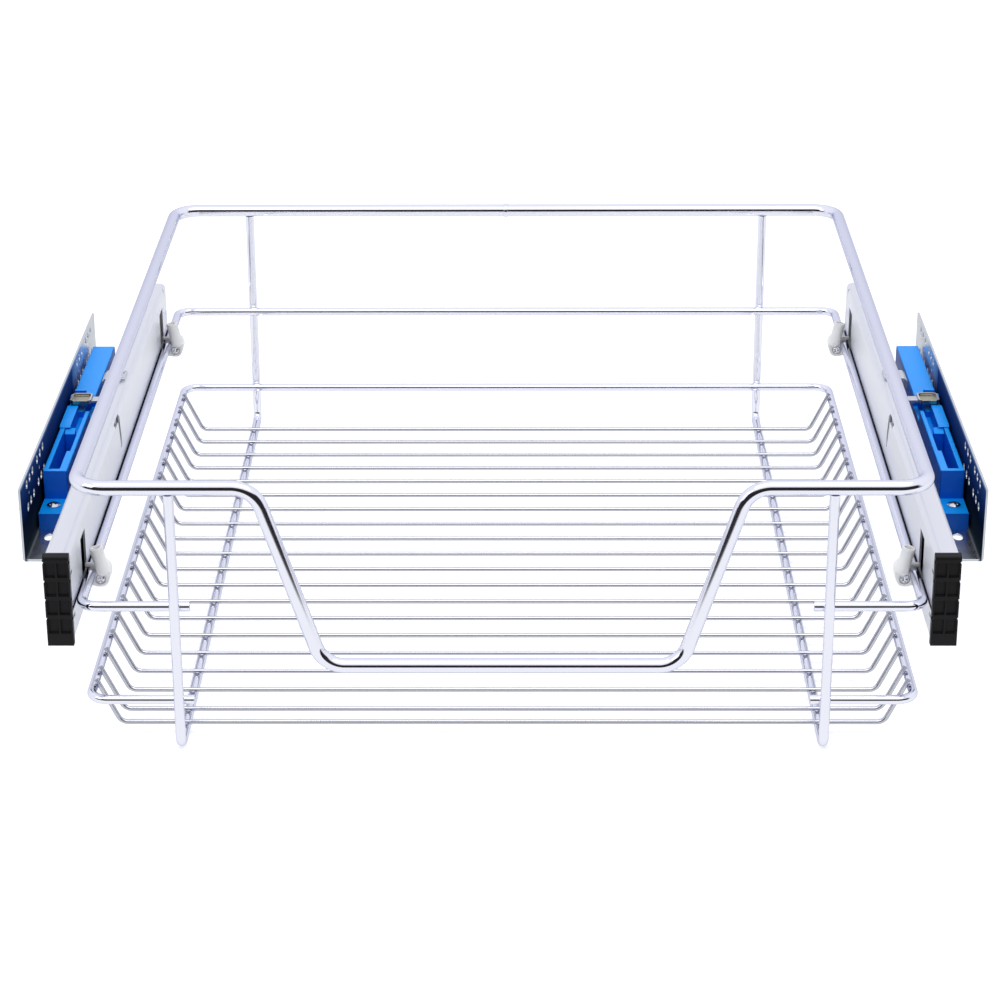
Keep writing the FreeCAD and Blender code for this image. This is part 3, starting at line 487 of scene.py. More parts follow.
def buttWeld():
    # the bead where the loop closes, ground flush at the back
    back = topMiddle()[1]
    back.y -= (wires["bead"] - wires["top"]) / 2
    route = [(end * wires["beadLong"] / 2, back.y, back.z, 0) for end in (-1, 1)]
    bead = thickenRoutes("buttWeld", [route], wires["bead"], closed=False, sides=40, steps=1,
                         finish=finishes["plated_wire"])
    soften(bead, wires["beadLong"] / 6, segments=3)
    settle(bead, "buttWeld", ["top_wire_loop"], stands=False)


def openWire(name, node, diameter, bend):
    # round the back and the sides, with both ends turned in at the front
    low, high = middleOf(node, diameter)
    height = (low.z + high.z) / 2
    legX = sum(corner.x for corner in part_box("right_leg_wire")) / 2
    endX = legX - wires["endPastLeg"]
    right = [(endX, low.y, height, 0), (high.x, low.y, height, bend), (high.x, high.y, height, bend)]
    left = [(-x, y, z, r) for x, y, z, r in reversed(right)]
    bendWires(name, [right + left], diameter, node)


def legWire(name, node):
    # down from the top wire, along under the floor and up again at the back
    low, high = middleOf(node, wires["side"])
    x = (low.x + high.x) / 2
    bend = wires["legBend"]
    top = high.z + wires["side"] / 2
    route = [(x, low.y, top, 0), (x, low.y, low.z, bend), (x, high.y, low.z, bend), (x, high.y, top, 0)]
    bendWires(name, [route], wires["side"], node)


def floorWires():
    # each wire lies on the legs and rises at both ends to lean on the rim's wire
    low, high = middleOf("floor_wires", wires["cross"])
    rim = middleOf("rim_wire", wires["rim"])[1]
    cornerX = rim.x - wires["crossInset"]
    run = Vector((rim.x - cornerX, 0, rim.z - low.z))
    lean = math.asin(((wires["rim"] + wires["cross"]) / 2 - wires["weldSink"]) / run.length)
    rise = math.atan2(run.z, run.x) + lean
    length = run.length * math.cos(lean) + wires["crossPastRim"]
    end = (cornerX + length * math.cos(rise), low.z + length * math.sin(rise))
    places = [low.y]
    y = high.y
    while y > low.y + wires["crossPitch"] / 2:
        places.append(y)
        y -= wires["crossPitch"]
    routes = []
    for y in places:
        half = [(end[0], y, end[1], 0), (cornerX, y, low.z, wires["crossBend"])]
        routes.append(half + [(-x, yy, z, r) for x, yy, z, r in reversed(half)])
    bendWires("floorWires", routes, wires["cross"], "floor_wires", sides=20, steps=8)
    print("floor wires:", len(routes))


topWire()
buttWeld()
openWire("middleWire", "middle_wire", wires["side"], wires["middleBend"])
openWire("rimWire", "rim_wire", wires["rim"], wires["rimBend"])
legWire("leftLeg", "left_leg_wire")
legWire("rightLeg", "right_leg_wire")
floorWires()
print("wires bent")


# sheet and moulded pieces: a copy of the CAD piece with smoothed bends and softened edges
def dress(node, name, edge):
    mesh = frame["nodes"][node].data.copy()
    shape = bmesh.new()
    shape.from_mesh(mesh)
    bmesh.ops.remove_doubles(shape, verts=shape.verts, dist=1e-6)
    bmesh.ops.dissolve_limit(shape, angle_limit=math.radians(1), verts=shape.verts, edges=shape.edges)
    for face in shape.faces:
        face.smooth = True
    for line in shape.edges:
        line.smooth = len(line.link_faces) == 2 and line.calc_face_angle(0) < math.radians(roundBelow)
    shape.to_mesh(mesh)
    shape.free()
    piece = linkMesh(name, mesh)
    soften(piece, edge)
    settle(piece, name, [node])
    return piece


softEdges = {
    "channel": 0.12 * mm, "middle_member": 0.12 * mm, "fixed_member": 0.12 * mm,
    "end_cap": 0.35 * mm, "housing": 0.25 * mm, "cover": 0.25 * mm, "claw": 0.25 * mm, "strap": 0.15 * mm,
}
for side in ("left", "right"):
    for part, edge in softEdges.items():
        dressed = dress(side + "_" + part, side + part.title().replace("_", ""), edge)
        if part in finishWithPaintedLight:
            dressed.data.materials[0] = finishWithPaintedLight[part]
print("sheet and moulded pieces dressed")


def islandBoxes(node):
    # the corners of each loose body in a node's mesh
    shape = bmesh.new()
    shape.from_mesh(frame["nodes"][node].data)
    bmesh.ops.remove_doubles(shape, verts=shape.verts, dist=1e-6)
    left = set(shape.verts)
    boxes = []
    while left:
        wave = [left.pop()]
        found = list(wave)
        while wave:
            near = {line.other_vert(corner) for corner in wave for line in corner.link_edges} & left
            left -= near
            wave = list(near)
            found += wave
        lows = Vector([min(corner.co[i] for corner in found) for i in range(3)])
        highs = Vector([max(corner.co[i] for corner in found) for i in range(3)])
        boxes.append((lows, highs))
    shape.free()
    return sorted(boxes, key=lambda box: tuple(round(v, 5) for v in box[0]))


# brackets: one tree folds the sheet along its section and bores every hole
def foldedSheetTree():
    tree, given = makeTree("foldedSheet", {
        "Sheet length": "NodeSocketFloat", "Sheet thickness": "NodeSocketFloat",
        "Bend steps": "NodeSocketInt", "Hole sides": "NodeSocketInt", "Finish": "NodeSocketMaterial"})
    level = addNode(tree, "GeometryNodeSetCurveNormal",
                    {"Curve": bentRoute(tree, given).outputs["Curve"], "Normal": (0, 1, 0)}, mode="FREE")
    strip = addNode(tree, "GeometryNodeCurvePrimitiveQuadrilateral",
                    {"Width": given["Sheet length"], "Height": given["Sheet thickness"]}, mode="RECTANGLE")
    sheet = addNode(tree, "GeometryNodeCurveToMesh",
                    {"Curve": level.outputs["Curve"], "Profile Curve": strip.outputs["Curve"],
                     "Fill Caps": True})
    bore = addNode(tree, "GeometryNodeInputNamedAttribute", {"Name": "bore"}, data_type="FLOAT_VECTOR")
    along = addNode(tree, "GeometryNodeInputNamedAttribute", {"Name": "along"}, data_type="FLOAT_VECTOR")
    wide = addNode(tree, "ShaderNodeSeparateXYZ", {"Vector": bore.outputs["Attribute"]}).outputs["X"]
    isHole = addNode(tree, "FunctionNodeCompare", {0: wide, 1: 0.0}, operation="GREATER_THAN")
    aimed = addNode(tree, "FunctionNodeAlignRotationToVector",
                    {"Vector": along.outputs["Attribute"]}, axis="Z")
    drill = addNode(tree, "GeometryNodeMeshCylinder",
                    {"Vertices": given["Hole sides"], "Side Segments": 1, "Fill Segments": 1,
                     "Radius": 1.0, "Depth": 1.0})
    holes = addNode(tree, "GeometryNodeInstanceOnPoints",
                    {"Points": given["Geometry"], "Selection": isHole.outputs["Result"],
                     "Instance": drill.outputs["Mesh"], "Rotation": aimed.outputs["Rotation"],
                     "Scale": bore.outputs["Attribute"]})
    tools = addNode(tree, "GeometryNodeRealizeInstances", {"Geometry": holes.outputs["Instances"]})
    bored = addNode(tree, "GeometryNodeMeshBoolean", {"Mesh 1": sheet.outputs["Mesh"]},
                    operation="DIFFERENCE", solver="EXACT")
    tree.links.new(tools.outputs["Geometry"], bored.inputs["Mesh 2"])
    return finishTree(tree, smoothRound(tree, bored.outputs["Mesh"]), given)


bracket = {
    "sheet": 1.2 * mm, "bend": 1.6 * mm, "backRise": 25.4 * mm, "edge": 0.15 * mm, "drill": 7.2 * mm,
    "hole": 4.5 * mm, "pilot": 2.0 * mm, "pitch": 8.8 * mm, "rowPitch": 12.0 * mm, "rowTop": 4.7 * mm,
    "clusterInset": 27.0 * mm, "clusterPitch": 32.0 * mm, "slot": (5.0 * mm, 8.0 * mm),
    "slotPlace": 27.0 * mm, "rivet": 3.9 * mm, "screw": 3.4 * mm, "holeSides": 32, "bendSteps": 6,
}


def bracketHoles(side, way, wallX, backX):
    # rows of place, axis, and the hole's two widths
    low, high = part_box(side + "_bracket")
    across, up = (1, 0, 0), (0, 0, 1)
    hole, pilot, screw, rivet = ([bracket[name]] * 2 for name in ("hole", "pilot", "screw", "rivet"))
    upper = high.z - bracket["rowTop"]
    lower = upper - bracket["rowPitch"]
    holes = []
    for edgeY, inwards in ((low.y, 1), (high.y, -1)):
        for cluster in range(2):
            y = edgeY + inwards * (bracket["clusterInset"] + cluster * bracket["clusterPitch"])
            for step in (-1, 0, 1):
                for z in (upper, lower):
                    holes.append(((wallX, y + step * bracket["pitch"], z), across, *hole))
            holes.append(((wallX, y - bracket["pitch"] / 2, upper - bracket["rowPitch"] / 2), across, *pilot))
    slotX = way * abs(sum(corner.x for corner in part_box(side + "_housing")) / 2)
    holes.append(((slotX, low.y + bracket["slotPlace"], low.z), up, *bracket["slot"]))
    for boxLow, boxHigh in islandBoxes("unit_screws"):
        centre = (boxLow + boxHigh) / 2
        if centre.x * way > 0:
            holes.append(((centre.x, centre.y, low.z), up, *screw))
    for boxLow, boxHigh in islandBoxes("member_rivets"):
        centre = (boxLow + boxHigh) / 2
        if centre.x * way > 0:
            holes.append(((backX, centre.y, centre.z), across, *rivet))
    return holes


def bracketSheets():
    tree = foldedSheetTree()
    half = bracket["sheet"] / 2
    bend = bracket["bend"] - half
    for side, way in (("left", -1), ("right", 1)):
        node = side + "_bracket"
        low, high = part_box(node)
        wallX = way * (max(abs(low.x), abs(high.x)) - half)
        backX = way * (min(abs(low.x), abs(high.x)) + half)
        middleY = (low.y + high.y) / 2
        route = [(wallX, middleY, high.z, 0), (wallX, middleY, low.z + half, bend),
                 (backX, middleY, low.z + half, bend), (backX, middleY, low.z + bracket["backRise"], 0)]
        mesh = routeMesh(node, [route])
        holes = bracketHoles(side, way, wallX, backX)
        first = len(mesh.vertices)
        mesh.vertices.add(len(holes))
        along = mesh.attributes.new("along", "FLOAT_VECTOR", "POINT")
        bore = mesh.attributes.new("bore", "FLOAT_VECTOR", "POINT")
        for index, (place, axis, wide, long) in enumerate(holes, first):
            mesh.vertices[index].co = place
            along.data[index].vector = axis
            bore.data[index].vector = (wide / 2, long / 2, bracket["drill"])
        piece = linkMesh(node, mesh)
        addTree(piece, tree, {
            "Sheet length": high.y - low.y, "Sheet thickness": bracket["sheet"],
            "Bend steps": bracket["bendSteps"], "Hole sides": bracket["holeSides"],
            "Finish": finishWithPaintedLight["bracket"]})
        bakeModifiers(piece)
        faceOutwards(piece.data)
        soften(piece, bracket["edge"])
        settle(piece, side + "Bracket", [node])
        print(piece.name, "holes:", len(holes))


# screws, rivets and balls: each tree shapes one and sets it at every point, along its own axis
def pointMesh(name, rows):
    # rows are (place, axis) pairs in metres
    mesh = bpy.data.meshes.new(name)
    mesh.from_pydata([place for place, axis in rows], [], [])
    along = mesh.attributes.new("along", "FLOAT_VECTOR", "POINT")
    along.data.foreach_set("vector", [part for place, axis in rows for part in axis])
    return mesh


def setAtPoints(tree, given, shape):
    # each one is turned to its axis, and about it by a fixed random angle
    along = addNode(tree, "GeometryNodeInputNamedAttribute", {"Name": "along"}, data_type="FLOAT_VECTOR")
    aimed = addNode(tree, "FunctionNodeAlignRotationToVector",
                    {"Vector": along.outputs["Attribute"]}, axis="Z")
    angle = addNode(tree, "FunctionNodeRandomValue",
                    {2: 0.0, 3: math.pi, "Seed": given["Seed"]}, data_type="FLOAT")
    spin = addNode(tree, "FunctionNodeAxisAngleToRotation", {"Axis": (0, 0, 1), "Angle": angle.outputs[1]})
    turned = addNode(tree, "FunctionNodeRotateRotation",
                     {"Rotation": aimed.outputs["Rotation"], "Rotate By": spin.outputs["Rotation"]},
                     rotation_space="LOCAL")
    placed = addNode(tree, "GeometryNodeInstanceOnPoints",
                     {"Points": given["Geometry"], "Instance": shape, "Rotation": turned.outputs["Rotation"]})
    return finishTree(tree, placed.outputs["Instances"], given)


def domedDisc(tree, radius, rim, dome, sidesRound):
    # a disc from z = 0 to the rim, with its top face domed
    half = addNode(tree, "ShaderNodeMath", {0: rim, 1: 0.5}, operation="MULTIPLY").outputs["Value"]
    disc = addNode(tree, "GeometryNodeMeshCylinder",
                   {"Vertices": sidesRound, "Side Segments": 1, "Fill Segments": 6, "Radius": radius,
                    "Depth": rim})
    place = addNode(tree, "GeometryNodeInputPosition").outputs["Position"]
    flat = addNode(tree, "ShaderNodeVectorMath", {0: place, 1: (1, 1, 0)}, operation="MULTIPLY")
    reach = addNode(tree, "ShaderNodeVectorMath", {0: flat.outputs["Vector"]}, operation="LENGTH")
    share = addNode(tree, "ShaderNodeMath", {0: reach.outputs["Value"], 1: radius}, operation="DIVIDE")
    square = addNode(tree, "ShaderNodeMath", {0: share.outputs["Value"], 1: 2.0}, operation="POWER")
    rest = addNode(tree, "ShaderNodeMath", {0: 1.0, 1: square.outputs["Value"]}, operation="SUBTRACT")
    height = addNode(tree, "ShaderNodeSeparateXYZ", {"Vector": place}).outputs["Z"]
    above = addNode(tree, "ShaderNodeMath", {0: height, 1: 0.0}, operation="GREATER_THAN")
    rise = addNode(tree, "ShaderNodeMath", {0: rest.outputs["Value"], 1: dome}, operation="MULTIPLY")
    lift = addNode(tree, "ShaderNodeMath", {0: rise.outputs["Value"], 1: above.outputs["Value"]},
                   operation="MULTIPLY")
    up = addNode(tree, "ShaderNodeMath", {0: lift.outputs["Value"], 1: half}, operation="ADD")
    offset = addNode(tree, "ShaderNodeCombineXYZ", {"Z": up.outputs["Value"]})
    return addNode(tree, "GeometryNodeSetPosition",
                   {"Geometry": disc.outputs["Mesh"], "Offset": offset.outputs["Vector"]}).outputs[0]


def cutCross(tree, head, given):
    # two crossed slots, sunk from the top of the dome
    deep = addNode(tree, "ShaderNodeMath", {0: given["Recess depth"], 1: 2.0}, operation="MULTIPLY")
    high = addNode(tree, "ShaderNodeMath", {0: given["Rim"], 1: given["Dome"]}, operation="ADD")
    raised = addNode(tree, "ShaderNodeCombineXYZ", {"Z": high.outputs["Value"]})
    cut = addNode(tree, "GeometryNodeMeshBoolean", {"Mesh 1": head}, operation="DIFFERENCE", solver="EXACT")
    for long, wide in (("Recess length", "Recess width"), ("Recess width", "Recess length")):
        size = addNode(tree, "ShaderNodeCombineXYZ", {
            "X": given[long], "Y": given[wide], "Z": deep.outputs["Value"]})
        block = addNode(tree, "GeometryNodeMeshCube", {"Size": size.outputs["Vector"]})
        slot = addNode(tree, "GeometryNodeTransform",
                       {"Geometry": block.outputs["Mesh"], "Translation": raised.outputs["Vector"]})
        tree.links.new(slot.outputs[0], cut.inputs["Mesh 2"])
    return cut.outputs["Mesh"]


def shankBelow(tree, radius, length, sidesRound=24):
    bar = addNode(tree, "GeometryNodeMeshCylinder",
                  {"Vertices": sidesRound, "Side Segments": 1, "Fill Segments": 1, "Radius": radius,
                   "Depth": length})
    half = addNode(tree, "ShaderNodeMath", {0: length, 1: -0.5}, operation="MULTIPLY").outputs["Value"]
    down = addNode(tree, "ShaderNodeCombineXYZ", {"Z": half})
    return addNode(tree, "GeometryNodeTransform",
                   {"Geometry": bar.outputs["Mesh"], "Translation": down.outputs["Vector"]}).outputs[0]


def headedTree(name, sizes, sidesRound):
    # a domed head on a shank, and in a screw's head the cross
    kinds = dict.fromkeys([*sizes, "Shank length"], "NodeSocketFloat")
    tree, given = makeTree(name, dict(kinds, Seed="NodeSocketInt", Finish="NodeSocketMaterial"))
    head = domedDisc(tree, given["Head radius"], given["Rim"], given["Dome"], sidesRound)
    if "Recess depth" in sizes:
        head = cutCross(tree, head, given)
    whole = addNode(tree, "GeometryNodeJoinGeometry")
    for part in (head, shankBelow(tree, given["Shank radius"], given["Shank length"])):
        tree.links.new(part, whole.inputs[0])
    return setAtPoints(tree, given, smoothRound(tree, whole.outputs[0]))


def ballTree():
    tree, given = makeTree("steelBalls", {
        "Ball radius": "NodeSocketFloat", "Seed": "NodeSocketInt", "Finish": "NodeSocketMaterial"})
    ball = addNode(tree, "GeometryNodeMeshIcoSphere", {"Radius": given["Ball radius"], "Subdivisions": 3})
    return setAtPoints(tree, given, smoothRound(tree, ball.outputs["Mesh"], 60))


# each kind's sizes, by the names of its tree's inputs
clipScrew = {
    "Head radius": 2.3 * mm, "Rim": 0.6 * mm, "Dome": 1.2 * mm, "Recess length": 2.9 * mm,
    "Recess width": 0.75 * mm, "Recess depth": 1.1 * mm, "Shank radius": 1.5 * mm,
}
unitScrew = {
    "Head radius": 3.5 * mm, "Rim": 0.8 * mm, "Dome": 1.2 * mm, "Recess length": 4.2 * mm,
    "Recess width": 1.0 * mm, "Recess depth": 1.4 * mm, "Shank radius": 1.75 * mm,
}
memberRivet = {"Head radius": 3.5 * mm, "Rim": 0.45 * mm, "Dome": 0.65 * mm, "Shank radius": 2.0 * mm}
strapRivet = {"Head radius": 2.1 * mm, "Rim": 0.3 * mm, "Dome": 0.4 * mm, "Shank radius": 1.2 * mm}
steelBall = {"Ball radius": 1.75 * mm}
screwTree = headedTree("crossScrew", clipScrew, 40)
rivetsTree = headedTree("domedRivet", memberRivet, 32)
ballsTree = ballTree()


def setPieces(name, tree, rows, values, cadNodes):
    # the seed is the same each time, so the screws' crosses never change
    piece = linkMesh(name, pointMesh(name, rows))
    addTree(piece, tree, dict(values, Finish=finishes[slotOf[cadNodes[0]]], Seed=7))
    bakeModifiers(piece)
    settle(piece, name, cadNodes)


def setHeads(name, tree, sizes, axes, node):
    # a head at the end of each CAD piece that each axis points to, and a shank that fills the rest
    headHigh = sizes["Rim"] + sizes["Dome"]
    rows, reach = [], 0
    for low, high in islandBoxes(node):
        for axis in axes:
            reach = abs((high - low).dot(Vector(axis)))
            rows.append(((low + high) / 2 + Vector(axis) * (reach / 2 - headHigh), axis))
    shank = reach / len(axes) - headHigh
    setPieces(name, tree, rows, {**sizes, "Shank length": shank}, [node])


def setBalls():
    for side in ("left", "right"):
        for ring in ("outer", "inner"):
            node = side + "_" + ring + "_balls"
            rows = [((low + high) / 2, (0, 0, 1)) for low, high in islandBoxes(node)]
            setPieces(side + ring.title() + "Balls", ballsTree, rows, steelBall, [node])


# clips and stops: plain solids that are joined and carved
def ringCorners(x, z, radius, around=32):
    turns = [step * math.tau / around for step in range(around)]
    return [(x + radius * math.cos(turn), z + radius * math.sin(turn)) for turn in turns]


def turnSolid(shape, foot, top, profile, around=36):
    # a closed turned solid: the profile's rows are height from the foot and radius
    turn = (top - foot).to_track_quat("Z", "Y")
    rings = []
    for height, radius in profile:
        corners = ringCorners(0, 0, radius, around if radius else 1)
        rings.append([shape.verts.new(foot + turn @ Vector((x, y, height))) for x, y in corners])
    for low, high in zip(rings, rings[1:]):
        for step in range(around):
            corners = [low[step % len(low)], low[(step + 1) % len(low)],
                       high[(step + 1) % len(high)], high[step % len(high)]]
            shape.faces.new(list(dict.fromkeys(corners)))


def prismAlongY(shape, corners, startY, endY):
    rings = [[shape.verts.new((x, y, z)) for x, z in corners] for y in (startY, endY)]
    shape.faces.new(rings[0])
    shape.faces.new(list(reversed(rings[1])))
    for index in range(len(corners)):
        following = (index + 1) % len(corners)
        shape.faces.new([rings[0][index], rings[0][following], rings[1][following], rings[1][index]])


def shapedTool(name, build, *args):
    mesh = bpy.data.meshes.new(name)
    shape = bmesh.new()
    build(shape, *args)
    bmesh.ops.recalc_face_normals(shape, faces=shape.faces)
    shape.to_mesh(mesh)
    shape.free()
    return linkMesh(name, mesh)


def carve(piece, tools, operation):
    for tool in tools:
        cut = piece.modifiers.new(tool.name, "BOOLEAN")
        cut.operation = operation
        cut.object = tool
        cut.solver = "EXACT"
    bakeModifiers(piece)
    for tool in tools:
        bpy.data.objects.remove(tool)


# millimetres: u runs from the wire to the basket's middle, v back from the clip's front, w up from the wire
clip = {
    "outline": [(-0.55, -6.6), (-0.55, 2.4), (0.6, 3.5), (6.6, 3.5), (8.2, 2.0), (8.9, -0.4), (8.8, -2.6),
                (7.8, -5.4), (6.6, -6.9), (5.2, -7.5), (2.4, -7.5)],
    "along": (4.2, 12.0), "bore": 4.9, "boreAlong": (0, 24.0),
    "hood": 3.2, "wall": 1.0, "hollow": 3.2, "lip": 0.35, "roundSteps": 8,
    "hoodFoot": (6.3, 3.4, -1.2), "hoodTop": (2.9, 3.4, 13.2),
    "tongue": [(-2.75, 2.6), (-2.75, 4.0), (2.0, 4.0), (2.0, 2.6)], "tongueAlong": (4.6, 6.8),
    "pocket": 2.6, "pocketPlace": (4.1, 0, -3.9), "pocketAlong": (-12.0, 5.35),
    "edge": 0.25, "edgeFold": 35, "edgeSteps": 3,
}


def hoodProfile(length):
    # rows of height and radius: the round foot, the outside, the softened lip and down into the hollow
    radius, lip = clip["hood"] * mm, clip["lip"] * mm
    inside, floor = radius - clip["wall"] * mm, length - clip["hollow"] * mm
    turns = [step * math.pi / 2 / clip["roundSteps"] for step in range(1, clip["roundSteps"] + 1)]
    foot = [(0, 0)] + [(radius * (1 - math.cos(turn)), radius * math.sin(turn)) for turn in turns]
    return foot + [
        (length - lip, radius), (length - lip * 0.3, radius - lip * 0.3), (length, radius - lip),
        (length, inside + lip), (length - lip * 0.3, inside + lip * 0.3), (length - lip, inside),
        (floor, inside), (floor, 0)]


def shapeClip(frontY, way, wireX, wireZ):
    # a leaning hollow hood in front, and behind it a block that grips the wire
    def place(u, v, w):
        return Vector((way * (wireX - u * mm), frontY + v * mm, wireZ + w * mm))

    def bar(name, corners, along):
        return shapedTool(name, prismAlongY, corners, *(frontY + v * mm for v in along))

    def section(outline):
        return [(place(u, 0, w).x, place(u, 0, w).z) for u, w in outline]

    foot, top, pocket = (place(*clip[name]) for name in ("hoodFoot", "hoodTop", "pocketPlace"))
    block = bar("clipBlock", section(clip["outline"]), clip["along"])
    hood = shapedTool("clipHood", turnSolid, foot, top, hoodProfile((top - foot).length))
    tongue = bar("clipTongue", section(clip["tongue"]), clip["tongueAlong"])
    wireRing = ringCorners(way * wireX, wireZ, clip["bore"] / 2 * mm)
    headRing = ringCorners(pocket.x, pocket.z, clip["pocket"] * mm)
    bore = bar("clipBore", wireRing, clip["boreAlong"])
    recess = bar("clipPocket", headRing, clip["pocketAlong"])
    carve(block, [hood, tongue], "UNION")
    carve(block, [bore, recess], "DIFFERENCE")
    return block


def wireClips():
    wireLow, wireHigh = middleOf("middle_wire", wires["side"])
    wireZ = (wireLow.z + wireHigh.z) / 2
    shells = [shapeClip(low.y, 1 if low.x > 0 else -1, wireHigh.x, wireZ)
              for low, high in islandBoxes("wire_clips")]
    whole = bmesh.new()
    for shell in shells:
        whole.from_mesh(shell.data)
        bpy.data.objects.remove(shell)
    mesh = bpy.data.meshes.new("wireClips")
    whole.to_mesh(mesh)
    whole.free()
    for face in mesh.polygons:
        face.use_smooth = True
    mesh.materials.append(finishes["clear_plastic"])
    piece = linkMesh("wireClips", mesh)
    soften(piece, clip["edge"] * mm, clip["edgeFold"], clip["edgeSteps"])
    settle(piece, "wireClips", ["wire_clips"])
    print("clips shaped:", len(shells))


stop = {"long": 1.9 * mm, "rise": 3.2 * mm, "inset": 1.2 * mm, "edge": 0.5 * mm}


def coverStop(side, way):
    # a moulded stop on the cover's front edge, behind the strap
    low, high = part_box(side + "_cover")
    middle = (low.x + high.x) / 2 - way * stop["inset"]
    outside = (high.x if way > 0 else low.x) - way * stop["inset"]
    foot, top = high.z - stop["inset"], high.z + stop["rise"]
    front = low.y + stop["edge"]
    piece = shapedTool("coverStop", prismAlongY,
                       [(outside, foot), (middle, foot), (middle, top), (outside, top)],
                       front, front + stop["long"])
    piece.data.materials.append(finishes["blue_plastic"])
    soften(piece, stop["edge"], segments=3)
    settle(piece, side + "CoverStop", [side + "_cover"], stands=False)


bracketSheets()
wireClips()
coverStop("left", -1)
coverStop("right", 1)
print("clips and stops shaped")
setBalls()
setHeads("clipScrews", screwTree, clipScrew, [(0, -1, 0)], "clip_screws")
setHeads("unitScrews", screwTree, unitScrew, [(0, 0, 1)], "unit_screws")
setHeads("memberRivets", rivetsTree, memberRivet, [(1, 0, 0), (-1, 0, 0)], "member_rivets")
setHeads("strapRivets", rivetsTree, strapRivet, [(0, 0, 1)], "strap_rivets")
print("screws, rivets and balls set")


# studio: a white sheet, white surroundings and two soft boxes
studio = {
    "worldLight": 1.0, "white": "#FFFFFF", "dark": "#2A262B", "roomTurns": (-0.25, -0.45),
    "room": [(0.0, "#2A262B"), (0.44, "#2A262B"), (0.56, "#FFFFFF"), (1.0, "#FAFAFF")],
    "sweep": [(0.0, "#F2F3FA"), (0.5, "#F7F8FF"), (1.0, "#FAFAFF")],
    "overheadBox": {"place": (0.05, -0.45, 1.4), "aim": (0, 0, 0), "size": (1.6, 0.8), "power": 9.0,
                    "tint": "#FFFFFF"},
    "leftBox": {"place": (-1.3, -0.9, 0.9), "aim": (0, 0, 0.05), "size": (0.9, 0.9), "power": 3.0,
                "tint": "#F6F7FF"},
}
paper = {
    "size": 8.0, "drop": 0.2 * mm, "tone": "#F4F5F8", "lift": (0.3, 0.6), "liftReach": (0.3, 1.5),
    "sheen": "#FCFDFF", "sheetEnds": (-0.64, -0.52),
}


def plainView(tree):
    # the kinds of ray, and 1 for what the camera sees, also through clear plastic
    path = addNode(tree, "ShaderNodeLightPath").outputs
    clear = addNode(tree, "ShaderNodeMath",
                    {0: path["Is Camera Ray"], 1: path["Is Transmission Ray"]}, operation="MAXIMUM")
    return path, clear.outputs["Value"]


def paperFloor():
    mesh = bpy.data.meshes.new("paperFloor")
    half = paper["size"] / 2
    mesh.from_pydata([(-half, -half, 0), (half, -half, 0), (half, half, 0), (-half, half, 0)], [],
                     [(0, 1, 2, 3)])
    floor = linkMesh("paperFloor", mesh)
    floor.location.z = -paper["drop"]
    material, tree, shader = newMaterial("whitePaper", {
        "Base Color": linear(paper["tone"]), "Roughness": 0.9, "Specular IOR Level": 0.1,
        "Emission Color": linear(studio["white"])})
    # the camera sees the lit paper lifted to white, with its shadows kept
    path, clear = plainView(tree)
    place = addNode(tree, "ShaderNodeTexCoord").outputs["Object"]
    reach = addNode(tree, "ShaderNodeVectorMath", {0: place}, operation="LENGTH").outputs["Value"]
    lift = addNode(tree, "ShaderNodeMapRange", {
        "Value": reach, "From Min": paper["liftReach"][0], "From Max": paper["liftReach"][1],
        "To Min": paper["lift"][0], "To Max": paper["lift"][1]})
    glow = addNode(tree, "ShaderNodeMath", {0: clear, 1: lift.outputs["Result"]}, operation="MULTIPLY")
    tree.links.new(glow.outputs["Value"], shader.inputs["Emission Strength"])
    # in the chrome, the sheet ends in front of the basket and the dark of the room begins
    ahead = addNode(tree, "ShaderNodeSeparateXYZ", {"Vector": place}).outputs["Y"]
    edge = addNode(tree, "ShaderNodeMapRange", {
        "Value": ahead, "From Min": paper["sheetEnds"][0], "From Max": paper["sheetEnds"][1]})
    tone = addNode(tree, "ShaderNodeMix",
                   {0: edge.outputs["Result"], 6: linear(studio["dark"]), 7: linear(paper["sheen"])},
                   data_type="RGBA")
    sheen = addNode(tree, "ShaderNodeEmission", {"Color": tone.outputs[2], "Strength": 1.0})
    both = addNode(tree, "ShaderNodeMixShader",
                   {0: path["Is Glossy Ray"], 1: shader.outputs["BSDF"], 2: sheen.outputs[0]})
    tree.links.new(both.outputs[0], tree.nodes["Material Output"].inputs["Surface"])
    material.cycles.emission_sampling = "NONE"
    floor.data.materials.append(material)


def softBox(name):
    box = studio[name]
    light = bpy.data.lights.new(name, "AREA")
    light.shape = "RECTANGLE"
    light.size, light.size_y = box["size"]
    light.energy = box["power"]
    light.color = linear(box["tint"])[:3]
    lamp = bpy.data.objects.new(name, light)
    lamp.location = box["place"]
    lamp.rotation_euler = (Vector(box["aim"]) - Vector(box["place"])).to_track_quat("-Z", "Y").to_euler()
    bpy.context.scene.collection.objects.link(lamp)


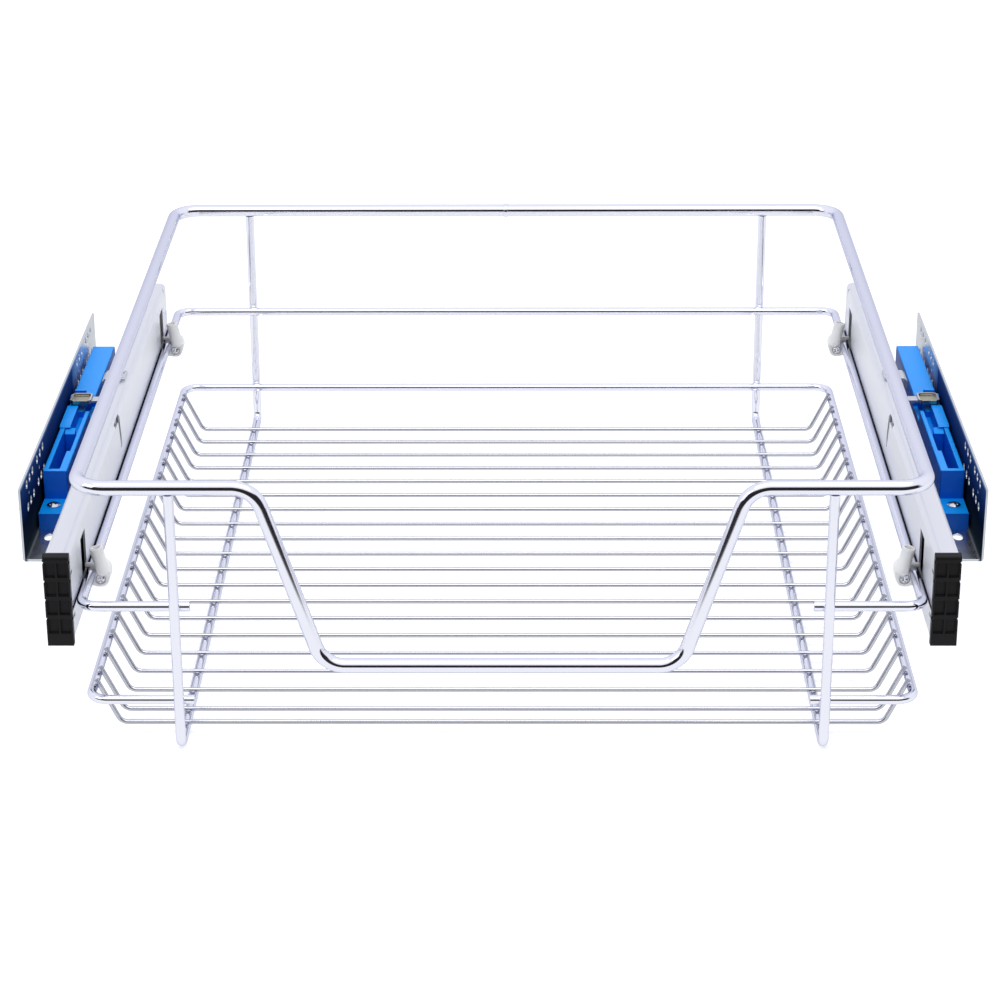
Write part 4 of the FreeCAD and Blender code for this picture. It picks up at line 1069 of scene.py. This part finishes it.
def whiteWorld():
    world = bpy.data.worlds.new("whiteStudio")
    world.use_nodes = True
    tree = world.node_tree
    tree.nodes.clear()
    way = addNode(tree, "ShaderNodeTexCoord").outputs["Generated"]
    parts = addNode(tree, "ShaderNodeSeparateXYZ", {"Vector": way}).outputs
    # the front of the studio is dark up to the soft boxes, the sweep behind is light
    front = addNode(tree, "ShaderNodeMapRange", {
        "Value": parts["Y"], "From Min": studio["roomTurns"][0], "From Max": studio["roomTurns"][1]})
    around = addNode(tree, "ShaderNodeMix", {0: front.outputs["Result"]}, data_type="RGBA")
    for socket, tones in ((6, studio["sweep"]), (7, studio["room"])):
        ramp = addNode(tree, "ShaderNodeValToRGB", {"Fac": parts["Z"]})
        setRamp(ramp, tones)
        tree.links.new(ramp.outputs["Color"], around.inputs[socket])
    lit = addNode(tree, "ShaderNodeBackground",
                  {"Color": around.outputs[2], "Strength": studio["worldLight"]})
    plain = addNode(tree, "ShaderNodeBackground", {"Color": linear(studio["white"]), "Strength": 1.0})
    seen = addNode(tree, "ShaderNodeMixShader",
                   {0: plainView(tree)[1], 1: lit.outputs[0], 2: plain.outputs[0]})
    addNode(tree, "ShaderNodeOutputWorld", {"Surface": seen.outputs[0]})
    bpy.context.scene.world = world


paperFloor()
whiteWorld()
softBox("overheadBox")
softBox("leftBox")
print("studio lit")


# the photograph's camera, found from the basket's own corners
photoCamera = {
    "focalPixels": 2812.5, "imagePixels": 1000, "sensor": 36.0,
    "place": (9.3 * mm, -1375.6 * mm, 629.1 * mm), "pitch": 23.25, "roll": 0.211, "yaw": 0.483,
}


def aimCamera():
    data = bpy.data.cameras.new("photoCamera")
    data.sensor_width = photoCamera["sensor"]
    data.lens = photoCamera["focalPixels"] / photoCamera["imagePixels"] * photoCamera["sensor"]
    camera = bpy.data.objects.new("photoCamera", data)
    pitch, roll, yaw = (math.radians(photoCamera[name]) for name in ("pitch", "roll", "yaw"))
    ahead = Vector((-math.sin(yaw) * math.cos(pitch), math.cos(yaw) * math.cos(pitch), -math.sin(pitch)))
    right = Vector((math.cos(yaw), math.sin(yaw), 0))
    down = ahead.cross(right)
    rightRolled = right * math.cos(roll) + down * math.sin(roll)
    downRolled = down * math.cos(roll) - right * math.sin(roll)
    turn = Matrix((rightRolled, -downRolled, -ahead)).transposed()
    camera.matrix_world = Matrix.Translation(photoCamera["place"]) @ turn.to_4x4()
    bpy.context.scene.collection.objects.link(camera)
    bpy.context.scene.camera = camera


aimCamera()
bpy.context.scene.view_settings.view_transform = "Standard"
bpy.context.view_layer.update()
print("camera and sizes set")
